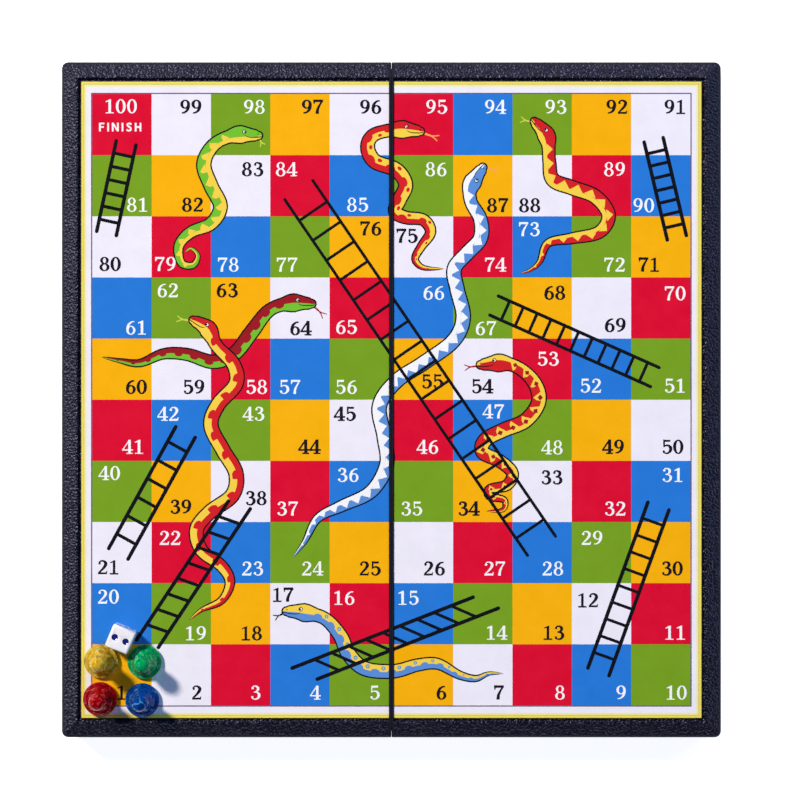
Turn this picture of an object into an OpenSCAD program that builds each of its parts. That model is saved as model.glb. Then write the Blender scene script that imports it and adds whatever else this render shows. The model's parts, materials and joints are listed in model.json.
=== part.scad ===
// Folding snakes and ladders board with its pawns and die.
// All sizes are in millimetres. The origin is at the middle of the board, on the
// plane it stands on. X runs across the two halves, Y along the hinge, Z up.
// The board is drawn open for play: both trays lie face up with their hollows down.

/* [Board] */
// Width of the open board across both halves
board_width = 245; // [220:1:260]
// Length of the board along the hinge
board_length = 251; // [230:1:270]
// Height of one tray from its rim to the lip round the sheet
tray_height = 18; // [14:0.1:22]
// Thickness of the tray's side walls
wall_thickness = 2; // [1.6:0.1:2.6]
// Thickness of the tray's panel under the play surface
panel_thickness = 1.6; // [1.2:0.1:2.4]
// Gap between the two halves along the hinge line
half_gap = 0.1; // [0.05:0.05:0.6]

/* [Frame] */
// Width of the sloped frame round the sheet
frame_width = 6.35; // [5:0.05:9]
// Drop of the frame from its lip to its outer edge
frame_drop = 2.4; // [0.8:0.1:2.6]
// Width of the flat lip round the sheet
lip_width = 0.6; // [0.3:0.1:1.2]
// Width of the lip along the hinge line
hinge_lip_width = 0.7; // [0.4:0.1:1]
// Rounding of the frame's outer edge, measured along each of the two faces it joins
edge_round = 1.2; // [0.6:0.1:1.8]
// Radius of the outer corners in plan
corner_radius = 3; // [1:0.1:4]
// Radius of the corners in plan beside the hinge line
hinge_corner_radius = 0.5; // [0.3:0.1:1.5]

/* [Play surface] */
// Depth of the sheet's face below the lip
sheet_recess = 0.5; // [0.2:0.1:0.8]
// Width of the groove left between the sheet and the lip on the three outer sides
groove_width = 1; // [0.2:0.1:1.2]
// Thickness of the printed sheet
print_thickness = 0.25; // [0.15:0.05:0.5]
// Thickness of the steel sheet that the magnets hold to
steel_thickness = 0.3; // [0.2:0.05:0.5]

/* [Hinge] */
// Outer radius of a hinge knuckle
knuckle_radius = 2; // [1.8:0.05:2.3]
// Length of one knuckle
knuckle_length = 6; // [4:0.5:8]
// Number of knuckles in one hinge
knuckle_count = 5; // [3:2:7]
// Diameter of the hinge pins
pin_diameter = 1.6; // [1.2:0.1:1.8]
// Distance from the board's end to the middle of a hinge
hinge_inset = 37; // [26:1:50]

/* [Closing] */
// Length of a locating tab along the rim
tab_length = 9; // [6:0.5:14]
// Distance from the board's end to the middle of a right tab
right_tab_inset = 39; // [30:1:45]
// Distance from the board's end to the middle of a left tab
left_tab_inset = 63; // [60:1:80]
// Length of the catch tongue along the rim
catch_length = 16; // [12:0.5:20]
// Length of the finger scoop in the rim
scoop_length = 24; // [18:0.5:30]

/* [Pawns] */
// Diameter of a pawn's foot
pawn_diameter = 12.6; // [11:0.1:12.8]
// Height of a pawn
pawn_height = 15.2; // [12:0.1:20]
// Diameter of a pawn's head
pawn_head_diameter = 6.3; // [5:0.1:7]
// Diameter of the magnet in a pawn's foot
magnet_diameter = 6; // [4:0.1:8]
// Height of the magnet
magnet_height = 2; // [1.5:0.1:2.5]

/* [Die] */
// Length of the die's edge
die_edge = 9; // [8:0.1:9.4]
// Radius of the die's edges
die_rounding = 1.1; // [0.8:0.1:1.4]
// Diameter of a pip on the faces from three to six
pip_diameter = 2; // [1.6:0.1:2.1]
// Diameter of a pip on the faces of one and two
big_pip_diameter = 2.4; // [1.6:0.1:2.6]
// Turn of the die on the board, in degrees, clockwise from above
die_turn = 23; // [0:1:45]

/* [Hidden] */
// Height of the hinge axis above the plane the board stands on
axis_z = knuckle_radius;
// Half of the gap left between the two rims when the board is shut
rim_gap = 0.1;
rim_z = axis_z + rim_gap;
lip_z = rim_z + tray_height;
half_width = board_width / 2;
half_length = board_length / 2;
inner_x = half_gap / 2;
edge_z = lip_z - frame_drop;
// Steps of the frame's rounded outer edge, and the rise of its slope per length
edge_steps = 4;
edge_slope = frame_drop / (frame_width - lip_width);
sheet_top = lip_z - sheet_recess;
steel_top = sheet_top - print_thickness;
panel_top = steel_top - steel_thickness;
panel_bottom = panel_top - panel_thickness;
recess_x0 = inner_x + hinge_lip_width;
recess_x1 = half_width - frame_width;
recess_y = half_length - frame_width;
hinge_offset = half_length - hinge_inset;
right_tab_offset = half_length - right_tab_inset;
left_tab_offset = half_length - left_tab_inset;
// Room left between a sheet and the lip along the hinge
sheet_play = 0.15;
print_x0 = recess_x0 + sheet_play;
print_x1 = recess_x1 - groove_width;
print_y = recess_y - groove_width;
// Distance from the print's edge to the steel's
steel_inset = 1.05;
// Overshoot of cutting shapes past the face they cut
over = 1;
// Ribs under the panel
rib_width = 1.2;
rib_height = 1.5;
rib_rows = 5;
rib_columns = 2;
// Hinge clearances
knuckle_gap = 0.3;
knuckle_pitch = knuckle_length + knuckle_gap;
swing_gap = 0.3;
tight_play = 0.02;
free_play = 0.05;
pin_radius = pin_diameter / 2;
channel_play = 0.2;
group_length = knuckle_count * knuckle_pitch - knuckle_gap;
pin_chamfer = 0.2;
// The two pins fill the hinge line: they end short of the notches and of each other
pin_recess = 0.3;
pin_end = half_length - hinge_corner_radius - pin_recess;
pin_start = pin_recess / 2;
// Locating tabs, inside the free rim
tab_thickness = 1.6;
tab_play = 0.3;
tab_root = 5;
tab_x1 = half_width - wall_thickness - tab_play;
tab_x0 = tab_x1 - tab_thickness;
tab_bevel = 0.5;
// Catch tongue and its pocket
nose_height = 0.6;
nose_depth = 0.25;
nose_z = axis_z / 2;
pocket_depth = 0.45;
pocket_z = 2 * axis_z - nose_z;
pocket_side = 1;
// Finger scoop
scoop_depth = 0.9;
scoop_height = 3.4;
scoop_radius = (scoop_length * scoop_length / 4 + scoop_depth * scoop_depth) / (2 * scoop_depth);
// Pawn shape: radii as shares of the foot's radius, heights as shares of the height
pawn_radius = pawn_diameter / 2;
head_radius = pawn_head_diameter / 2;
rim_radius_share = 0.94;
step_radius_share = 0.79;
cone_radius_share = 0.72;
waist_radius_share = 0.46;
neck_radius_share = 0.31;
collar_radius_share = 0.45;
foot_height_share = 0.13;
step_height_share = 0.16;
cone_height_share = 0.24;
waist_height_share = 0.42;
neck_height_share = 0.6;
collar_low_share = 0.62;
collar_high_share = 0.66;
foot_edge = 0.35;
pad_thickness = 0.3;
pad_margin = 0.6;
magnet_play = 0.1;
head_z = pawn_height - head_radius;
// Places of the pawns and the die, counted from the sheet's near left corner
pawn_margin = 1.05;
pawn_row_gap = 1.4;
pawn_stray = 0.4;
die_gap = 0.3;
die_half = die_edge / 2;
side_pitch = pawn_diameter + die_edge / 3;
row_pitch = pawn_diameter + pawn_row_gap;
red_place = [-print_x1 + pawn_radius + pawn_margin, -print_y + pawn_radius + pawn_margin];
yellow_place = red_place + [pawn_stray, row_pitch];
blue_place = red_place + [side_pitch, -pawn_stray];
green_place = yellow_place + [side_pitch + pawn_stray, -pawn_stray / 2];
die_side = side_pitch / 2;
die_rise = (die_half + pawn_radius + die_gap - die_side * sin(die_turn)) / cos(die_turn);
die_place = yellow_place + [die_side, die_rise];
// Die's hollows
pip_depth = 0.35;
pip_row_share = 0.24;
pip_side = die_edge * pip_row_share;
// Radius of the ball that cuts a hollow of a given diameter
function pip_ball(diameter) = (diameter * diameter / 4 + pip_depth * pip_depth) / (2 * pip_depth);
// Places of a face's pips, for one to six
pip_layouts = [[[0, 0]], [[-1, 0], [1, 0]], [[-1, -1], [0, 0], [1, 1]],
    [[-1, -1], [-1, 1], [1, -1], [1, 1]], [[-1, -1], [-1, 1], [0, 0], [1, -1], [1, 1]],
    [[-1, -1], [-1, 0], [-1, 1], [1, -1], [1, 0], [1, 1]]];

black_plastic = [0.06, 0.06, 0.09];
steel_grey = [0.62, 0.63, 0.65];
sheet_white = [0.94, 0.93, 0.96];
pawn_yellow = [0.86, 0.68, 0.12];
pawn_green = [0.03, 0.5, 0.22];
pawn_red = [0.62, 0.03, 0.06];
pawn_blue = [0.03, 0.2, 0.6];
magnet_grey = [0.2, 0.2, 0.22];
die_white = [0.96, 0.95, 0.97];

$fn = 64;

// A block given by its low and high corners
module block(low, high) {
    translate(low) cube(high - low);
}

// A rod along Y, centred on the hinge axis
module axis_rod(radius, length, middle_y) {
    translate([0, middle_y, axis_z])
        rotate([90, 0, 0])
            cylinder(r = radius, h = length, center = true);
}

// Upright block with rounded corners: two radii, one at each end along X
module rounded_plan(x0, x1, y1, r0, r1, z0, z1) {
    block([x0 + r0, -y1, z0], [x1 - r1, y1, z1]);
    block([x0, -y1 + r0, z0], [x0 + r0, y1 - r0, z1]);
    block([x1 - r1, -y1 + r1, z0], [x1, y1 - r1, z1]);
    for (side = [-1, 1]) {
        translate([x0 + r0, side * (y1 - r0), z0]) cylinder(r = r0, h = z1 - z0);
        translate([x1 - r1, side * (y1 - r1), z0]) cylinder(r = r1, h = z1 - z0);
    }
}

// Point on the frame's rounded outer edge: share 0 lies on the outer wall, share 1 on the slope
function edge_point(outer, share) = [outer - edge_round * share * share,
    edge_z - edge_round * (1 - share) * (1 - share) + edge_slope * edge_round * share * share];

// Section across a half, extruded along Y: lip, slope, rounded edge and outer wall
module across_prism() {
    translate([0, half_length + over, 0])
        rotate([90, 0, 0])
            linear_extrude(height = board_length + 2 * over)
                polygon(concat([[inner_x - over, rim_z], [half_width, rim_z]],
                    [for (i = [0 : edge_steps]) edge_point(half_width, i / edge_steps)],
                    [[recess_x1 + lip_width, lip_z], [inner_x - over, lip_z]]));
}

// Section along a half, extruded along X: a slope at each end
module along_prism() {
    translate([inner_x - over, 0, 0])
        rotate([90, 0, 90])
            linear_extrude(height = board_width)
                polygon(concat([[-half_length, rim_z], [half_length, rim_z]],
                    [for (i = [0 : edge_steps]) edge_point(half_length, i / edge_steps)],
                    [[recess_y + lip_width, lip_z], [-recess_y - lip_width, lip_z]],
                    [for (i = [edge_steps : -1 : 0])
                        [-edge_point(half_length, i / edge_steps)[0], edge_point(half_length, i / edge_steps)[1]]]));
}

// Outside of one tray, solid
module tray_outside() {
    intersection() {
        across_prism();
        along_prism();
        rounded_plan(inner_x, half_width, half_length, hinge_corner_radius, corner_radius,
            rim_z - over, lip_z + over);
    }
}

// Ribs under the panel, both ways
module ribs() {
    low = panel_bottom - rib_height;
    x0 = inner_x + wall_thickness / 2;
    x1 = half_width - wall_thickness / 2;
    y1 = half_length - wall_thickness / 2;
    for (i = [1 : rib_rows]) {
        y = -half_length + i * board_length / (rib_rows + 1);
        block([x0, y - rib_width / 2, low], [x1, y + rib_width / 2, panel_bottom + rib_width / 2]);
    }
    for (i = [1 : rib_columns]) {
        x = inner_x + i * (half_width - inner_x) / (rib_columns + 1);
        block([x - rib_width / 2, -y1, low], [x + rib_width / 2, y1, panel_bottom + rib_width / 2]);
    }
}

// Locating tab inside the free rim: it reaches down to the standing plane
module tab(y, length) {
    block([tab_x0, y - length / 2, axis_z], [half_width - wall_thickness / 2, y + length / 2, rim_z + tab_root]);
    translate([0, y + length / 2, 0])
        rotate([90, 0, 0])
            linear_extrude(height = length)
                polygon([[tab_x0, rim_z + tab_root], [tab_x0, 0], [tab_x1 - tab_bevel, 0],
                    [tab_x1, tab_bevel], [tab_x1, rim_z + tab_root]]);
}

// Nose along the outer face of the catch tongue
module catch_nose() {
    translate([0, catch_length / 2, nose_z])
        rotate([90, 0, 0])
            linear_extrude(height = catch_length)
                polygon([[tab_x1 - nose_depth, -nose_height], [tab_x1, -nose_height],
                    [tab_x1 + nose_depth, 0], [tab_x1, nose_height], [tab_x1 - nose_depth, nose_height]]);
}

// Middle of a knuckle along Y: group is the hinge's middle, index counts from the front
function knuckle_y(group, index) = group + (index - (knuckle_count - 1) / 2) * knuckle_pitch;

// One knuckle and the web that joins it to its wall
module knuckle(y) {
    axis_rod(knuckle_radius, knuckle_length, y);
    block([0, y - knuckle_length / 2, axis_z], [inner_x + wall_thickness, y + knuckle_length / 2,
        axis_z + knuckle_radius]);
}

// One tray: own is the first knuckle index it carries, play the room in its bores
module tray(own, play, tab_offset, with_catch) {
    difference() {
        union() {
            difference() {
                tray_outside();
                block([inner_x + wall_thickness, -half_length + wall_thickness, rim_z - over],
                    [half_width - wall_thickness, half_length - wall_thickness, panel_bottom]);
                block([recess_x0, -recess_y, panel_top], [recess_x1, recess_y, lip_z + over]);
                axis_rod(pin_radius + channel_play, board_length + over, 0);
                for (group = [-hinge_offset, hinge_offset])
                    for (i = [1 - own : 2 : knuckle_count - 1])
                        axis_rod(knuckle_radius + swing_gap, knuckle_length + 2 * knuckle_gap,
                            knuckle_y(group, i));
                translate([half_width + scoop_radius - scoop_depth, 0, rim_z - over])
                    cylinder(r = scoop_radius, h = scoop_height + over, $fn = 180);
                if (!with_catch)
                    block([half_width - wall_thickness - over, -catch_length / 2 - pocket_side,
                        pocket_z - nose_height - nose_depth],
                        [half_width - wall_thickness + pocket_depth, catch_length / 2 + pocket_side,
                        pocket_z + nose_height + nose_depth]);
            }
            ribs();
            for (side = [-1, 1]) tab(side * tab_offset, tab_length);
            if (with_catch) {
                tab(0, catch_length);
                catch_nose();
            }
            for (group = [-hinge_offset, hinge_offset])
                for (i = [own : 2 : knuckle_count - 1])
                    knuckle(knuckle_y(group, i));
        }
        for (group = [-hinge_offset, hinge_offset])
            axis_rod(pin_radius + play, group_length + over, group);
    }
}

module right_tray() {
    color(black_plastic) tray(0, tight_play, right_tab_offset, true);
}

module left_tray() {
    color(black_plastic) mirror([1, 0, 0]) tray(1, free_play, left_tab_offset, false);
}

// Steel sheet under the print
module steel_sheet() {
    block([print_x0 + steel_inset, -print_y + steel_inset, panel_top],
        [print_x1 - steel_inset, print_y - steel_inset, steel_top]);
}

// Printed sheet: it fills the recess but for the groove
module print_sheet() {
    block([print_x0, -print_y, steel_top], [print_x1, print_y, sheet_top]);
}

module right_steel() {
    color(steel_grey) steel_sheet();
}

module left_steel() {
    color(steel_grey) mirror([1, 0, 0]) steel_sheet();
}

module right_print() {
    color(sheet_white) print_sheet();
}

module left_print() {
    color(sheet_white) mirror([1, 0, 0]) print_sheet();
}

// Hinge pin from one end of the board to its middle, with a small chamfer at each end
module hinge_pin(end) {
    length = pin_end - pin_start;
    middle = end * (pin_start + pin_end) / 2;
    axis_rod(pin_radius, length - 2 * pin_chamfer, middle);
    for (side = [-1, 1])
        translate([0, middle + side * (length / 2 - pin_chamfer), axis_z])
            rotate([-side * 90, 0, 0])
                cylinder(r1 = pin_radius, r2 = pin_radius - pin_chamfer, h = pin_chamfer);
}

module hinge_pin_front() {
    color(steel_grey) hinge_pin(-1);
}

module hinge_pin_rear() {
    color(steel_grey) hinge_pin(1);
}

// Moves a piece from its own foot to its place on the printed sheet
module on_board(place) {
    translate([place[0], place[1], sheet_top]) children();
}

// Pawn: a foot, a hollow cone, a collar and a ball head; the magnet's pocket is open below
module pawn() {
    r = pawn_radius;
    h = pawn_height;
    difference() {
        union() {
            rotate_extrude()
                polygon([[0, pad_thickness], [r - foot_edge, pad_thickness], [r, pad_thickness + foot_edge],
                    [r, h * foot_height_share - foot_edge], [r * rim_radius_share, h * foot_height_share],
                    [r * step_radius_share, h * step_height_share], [r * cone_radius_share, h * cone_height_share],
                    [r * waist_radius_share, h * waist_height_share], [r * neck_radius_share, h * neck_height_share],
                    [r * collar_radius_share, h * collar_low_share], [r * collar_radius_share, h * collar_high_share],
                    [0, h * collar_high_share]]);
            translate([0, 0, head_z]) sphere(r = head_radius);
        }
        translate([0, 0, pad_thickness - over])
            cylinder(d = magnet_diameter + 2 * magnet_play, h = magnet_height + magnet_play + over);
    }
}

module magnet() {
    translate([0, 0, pad_thickness]) cylinder(d = magnet_diameter, h = magnet_height);
}

module pad() {
    cylinder(r = pawn_radius - pad_margin, h = pad_thickness);
}

module yellow_pawn() {
    color(pawn_yellow) on_board(yellow_place) pawn();
}

module yellow_magnet() {
    color(magnet_grey) on_board(yellow_place) magnet();
}

module yellow_pad() {
    color(magnet_grey) on_board(yellow_place) pad();
}

module green_pawn() {
    color(pawn_green) on_board(green_place) pawn();
}

module green_magnet() {
    color(magnet_grey) on_board(green_place) magnet();
}

module green_pad() {
    color(magnet_grey) on_board(green_place) pad();
}

module red_pawn() {
    color(pawn_red) on_board(red_place) pawn();
}

module red_magnet() {
    color(magnet_grey) on_board(red_place) magnet();
}

module red_pad() {
    color(magnet_grey) on_board(red_place) pad();
}

module blue_pawn() {
    color(pawn_blue) on_board(blue_place) pawn();
}

module blue_magnet() {
    color(magnet_grey) on_board(blue_place) magnet();
}

module blue_pad() {
    color(magnet_grey) on_board(blue_place) pad();
}

// Square bar along Z with rounded long edges, as long as the die
module die_bar() {
    inner = die_half - die_rounding;
    block([-die_half, -inner, -die_half], [die_half, inner, die_half]);
    block([-inner, -die_half, -die_half], [inner, die_half, die_half]);
    for (x = [-inner, inner])
        for (y = [-inner, inner])
            translate([x, y, 0]) cylinder(r = die_rounding, h = die_edge, center = true);
}

// Hollows of one face, cut from above at half the die's height
module pips(count) {
    ball = pip_ball(count < 3 ? big_pip_diameter : pip_diameter);
    for (p = pip_layouts[count - 1])
        translate([p[0] * pip_side, p[1] * pip_side, die_half - pip_depth + ball])
            sphere(r = ball);
}

module die() {
    color(die_white) on_board(die_place)
        rotate([0, 0, -die_turn])
            translate([0, 0, die_half])
                difference() {
                    intersection() {
                        die_bar();
                        rotate([90, 0, 0]) die_bar();
                        rotate([0, 90, 0]) die_bar();
                    }
                    pips(2);
                    rotate([180, 0, 0]) pips(5);
                    rotate([-90, 0, 0]) pips(3);
                    rotate([90, 0, 0]) pips(4);
                    rotate([0, 90, 0]) pips(1);
                    rotate([0, -90, 0]) pips(6);
                }
}

right_tray();
left_tray();
right_steel();
left_steel();
right_print();
left_print();
hinge_pin_front();
hinge_pin_rear();
yellow_pawn();
yellow_magnet();
yellow_pad();
green_pawn();
green_magnet();
green_pad();
red_pawn();
red_magnet();
red_pad();
blue_pawn();
blue_magnet();
blue_pad();
die();
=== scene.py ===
"""Looks of the folding snakes and ladders board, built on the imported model's frame.

The trays, steel sheets, pins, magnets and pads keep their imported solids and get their
finishes here. The printed sheets, the pawns and the die are pieces of this script.
"""
import json
import logging
import math
from dataclasses import dataclass, field
from enum import Enum
from typing import Callable, Optional, Sequence

import bmesh
import bpy
from mathutils import Matrix, Vector
from mathutils.geometry import delaunay_2d_cdt

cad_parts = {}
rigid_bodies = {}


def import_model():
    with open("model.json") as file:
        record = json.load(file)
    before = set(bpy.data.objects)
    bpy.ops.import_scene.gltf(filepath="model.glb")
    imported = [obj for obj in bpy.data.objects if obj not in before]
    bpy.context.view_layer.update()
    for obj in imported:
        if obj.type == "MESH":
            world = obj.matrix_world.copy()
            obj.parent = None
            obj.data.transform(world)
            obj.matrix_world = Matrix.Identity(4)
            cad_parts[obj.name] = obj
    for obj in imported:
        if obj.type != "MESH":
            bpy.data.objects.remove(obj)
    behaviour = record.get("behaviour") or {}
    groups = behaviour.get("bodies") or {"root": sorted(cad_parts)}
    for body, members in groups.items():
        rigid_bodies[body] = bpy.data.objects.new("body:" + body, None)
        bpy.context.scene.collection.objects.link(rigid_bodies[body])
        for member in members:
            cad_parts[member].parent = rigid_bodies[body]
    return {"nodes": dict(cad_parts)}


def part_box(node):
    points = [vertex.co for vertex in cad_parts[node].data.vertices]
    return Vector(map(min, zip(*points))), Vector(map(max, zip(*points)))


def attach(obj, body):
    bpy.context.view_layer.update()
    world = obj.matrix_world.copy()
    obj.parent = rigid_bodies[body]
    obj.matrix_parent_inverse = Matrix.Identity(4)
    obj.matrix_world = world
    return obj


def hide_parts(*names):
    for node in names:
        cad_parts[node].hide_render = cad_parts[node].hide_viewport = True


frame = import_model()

MM = 0.001
PAWNS = ("yellow", "green", "red", "blue")
SHARP_ANGLE = math.radians(38)
TOUCHING = 1e-7
Point = tuple[float, float]
Place = tuple[float, float, float]
Colour = tuple[float, float, float, float]
Socket = bpy.types.NodeSocket
log = logging.getLogger("board")


def linear(red: int, green: int, blue: int) -> Colour:
    """Turns a colour as seen on a screen, 0 to 255, into linear values with an alpha of one."""
    parts = [value / 255 for value in (red, green, blue)]
    return (*(p / 12.92 if p <= 0.04045 else ((p + 0.055) / 1.055) ** 2.4 for p in parts), 1.0)


def shade(colour: Colour, share: float, lift: float = 0.0) -> Colour:
    """Takes a share of a colour's light and adds a lift, up to full light."""
    return (*(min(1.0, c * share + lift) for c in colour[:3]), 1.0)


def trace(text: str) -> list[tuple[float, ...]]:
    """Reads points, each written as numbers with commas, with spaces between the points."""
    return [tuple(float(value) for value in pair.split(",")) for pair in text.split()]


# Node trees and finishes


class NodeTree:
    """Nodes under construction."""

    def __init__(self, tree: bpy.types.NodeTree) -> None:
        """Takes the tree to build in."""
        self.tree = tree

    def node(self, kind: str, inputs: Optional[dict] = None, **settings: object) -> bpy.types.Node:
        """Adds a node.

        Args:
            kind: Blender's node type.
            inputs: Input socket by name or number, with a value, an output or a list of outputs.
            settings: The node's own properties.

        Returns:
            The new node.
        """
        node = self.tree.nodes.new(kind)
        for key, value in settings.items():
            setattr(node, key, value)
        for key, value in (inputs or {}).items():
            if isinstance(value, (Socket, list)):
                for source in value if isinstance(value, list) else [value]:
                    self.tree.links.new(source, node.inputs[key])
            else:
                node.inputs[key].default_value = value
        return node

    def put(self, kind: str, inputs: Optional[dict] = None, **settings: object) -> Socket:
        """Adds a node and returns its first output."""
        return self.node(kind, inputs, **settings).outputs[0]

    def math(self, operation: str, *values: object, clamp: bool = False) -> Socket:
        """Adds a Math node on values or sockets and returns its result."""
        return self.put("ShaderNodeMath", dict(enumerate(values)), operation=operation,
                        use_clamp=clamp)

    def background_rays(self, gate: object) -> Socket:
        """Picks out the rays that see the background.

        Args:
            gate: A value or socket that glossy and transmission rays are multiplied by.

        Returns:
            One for a camera ray, the gate for a glossy or transmission ray, zero for others.
        """
        path = self.node("ShaderNodeLightPath").outputs
        rays = self.math("ADD", path["Is Glossy Ray"], path["Is Transmission Ray"], clamp=True)
        rays = self.math("MULTIPLY", rays, gate, clamp=True)
        return self.math("ADD", path["Is Camera Ray"], rays, clamp=True)


@dataclass(frozen=True)
class Noise:
    """Noise on Object coordinates: a speck's size, octaves and their strength, swirl, squeeze."""

    size: float
    detail: float = 2.0
    rough: float = 0.5
    swirl: float = 0.0
    squeeze: float = 1.0


class Shader(NodeTree):
    """A material under construction: a Principled shader and the nodes that feed it."""

    def __init__(self, name: str, **values: object) -> None:
        """Starts a material.

        Args:
            name: The material's name.
            values: Principled inputs by name, with an underscore for each space.
        """
        self.material = bpy.data.materials.new(name)
        self.material.use_nodes = True
        super().__init__(self.material.node_tree)
        self.surface = next(n for n in self.tree.nodes if n.type == "BSDF_PRINCIPLED")
        for key, value in values.items():
            self.surface.inputs[key.replace("_", " ")].default_value = value
        self.coordinates = self.node("ShaderNodeTexCoord").outputs
        self.place = self.coordinates["Object"]

    def noise(self, noise: Noise) -> Socket:
        """Adds a noise.

        Args:
            noise: Its numbers.

        Returns:
            The noise's value, from 0 to 1.
        """
        place = self.place
        if noise.squeeze != 1.0:
            place = self.put("ShaderNodeMapping",
                             {"Vector": place, "Scale": (1.0, noise.squeeze, 1.0)})
        return self.put("ShaderNodeTexNoise", {
            "Vector": place, "Scale": 1 / noise.size, "Detail": noise.detail,
            "Roughness": noise.rough, "Distortion": noise.swirl})

    def ramp(self, value: Socket, places: Sequence[float], colours: Sequence[Colour]) -> Socket:
        """Colours a value by stops.

        Args:
            value: The value, from 0 to 1.
            places: The stops' places on the value.
            colours: The colour at each stop.

        Returns:
            The colour.
        """
        node = self.node("ShaderNodeValToRGB", {"Fac": value})
        elements = node.color_ramp.elements
        while len(elements) < len(places):
            elements.new(0.5)
        for element, place, colour in zip(elements, places, colours):
            element.position = place
            element.color = colour
        return node.outputs[0]

    def spread(self, value: Socket, low: float, high: float) -> Socket:
        """Maps a value from 0..1 to low..high and returns it."""
        return self.put("ShaderNodeMapRange", {"Value": value, "To Min": low, "To Max": high})

    def feed(self, name: str, source: Socket) -> None:
        """Links an output to one of the surface's inputs."""
        self.tree.links.new(source, self.surface.inputs[name])

    def bump(self, height: Socket, depth: float, strength: float = 1.0,
             base: Optional[Socket] = None) -> None:
        """Raises the surface by a height, up to depth metres, on a base normal if given."""
        sizes = {"Height": height, "Distance": depth, "Strength": strength}
        self.feed("Normal", self.put("ShaderNodeBump", sizes | ({"Normal": base} if base else {})))


@dataclass(frozen=True)
class Finish:
    """A finish whose noises mottle its colour, its gloss and its relief.

    The colour runs from low to high between two stops of the noise, the roughness through
    gloss, unless that is None, and relief is a depth in metres. The gloss and the relief may have
    their own noise.
    """

    name: str
    low: Colour
    high: Colour
    specks: Noise
    gloss: Optional[Point]
    relief: float
    stops: Point = (0.3, 0.7)
    gloss_specks: Optional[Noise] = None
    relief_specks: Optional[Noise] = None
    values: tuple[tuple[str, float], ...] = ()

    def material(self) -> bpy.types.Material:
        """Builds the material.

        Returns:
            The material, with a noise made once where two of them are the same.
        """
        shader = Shader(self.name, **dict(self.values))
        noises = [self.specks, self.gloss_specks or self.specks, self.relief_specks or self.specks]
        made = {noise: shader.noise(noise) for noise in dict.fromkeys(noises)}
        specks, gloss, relief = (made[noise] for noise in noises)
        shader.feed("Base Color", shader.ramp(specks, self.stops, (self.low, self.high)))
        if self.gloss:
            shader.feed("Roughness", shader.spread(gloss, *self.gloss))
        shader.bump(relief, self.relief)
        return shader.material


def printed_ink(name: str, colour: Colour) -> Finish:
    """Ink on card under a thin varnish, with a faint unevenness.

    Args:
        name: The material's name.
        colour: The ink's colour.

    Returns:
        The finish.
    """
    return Finish(name, shade(colour, 0.965), shade(colour, 1.035, 0.004), Noise(9 * MM, 6.0, 0.7),
                  (0.2, 0.32), 0.004 * MM, gloss_specks=Noise(18 * MM),
                  relief_specks=Noise(0.5 * MM), values=(("Specular_IOR_Level", 0.15),))


def polished_plastic(name: str, colour: Colour, roughness: float) -> Finish:
    """Opaque polished plastic or enamel, with faint handling marks in its gloss.

    Args:
        name: The material's name.
        colour: The plastic's colour.
        roughness: The roughness where it is glossiest.

    Returns:
        The finish.
    """
    return Finish(name, shade(colour, 0.96), colour, Noise(3 * MM, 3.0),
                  (roughness, roughness + 0.12), 0.003 * MM, (0.35, 0.65), Noise(1.2 * MM, 4.0),
                  Noise(0.4 * MM), (("Coat_Weight", 0.3), ("Coat_Roughness", 0.05)))


ROLLED_STEEL = Finish("rolled_steel", linear(196, 198, 204), linear(222, 224, 228),
                      Noise(0.25 * MM, 3.0, squeeze=0.03), (0.22, 0.42), 0.004 * MM,
                      values=(("Metallic", 1.0),))
# Steel painted dark so that the hinge pins in the gap between the halves read as shade.
SHADE_DARK_STEEL = Finish("shade_dark_steel", linear(22, 22, 26), linear(58, 58, 64),
                       Noise(1.5 * MM, 4.0, 0.7), (0.6, 0.4), 0.01 * MM, (0.5, 0.8),
                       values=(("Metallic", 0.8),))
PRESSED_FERRITE = Finish("pressed_ferrite", linear(40, 40, 44), linear(74, 74, 80),
                         Noise(0.3 * MM, 4.0, 0.7), None, 0.03 * MM,
                         values=(("Metallic", 0.3), ("Roughness", 0.6)))
BLACK_CARD = Finish("black_pad", linear(20, 20, 22), linear(40, 40, 44),
                    Noise(0.25 * MM, 5.0, 0.7), None, 0.02 * MM, values=(("Roughness", 0.7),))


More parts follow.
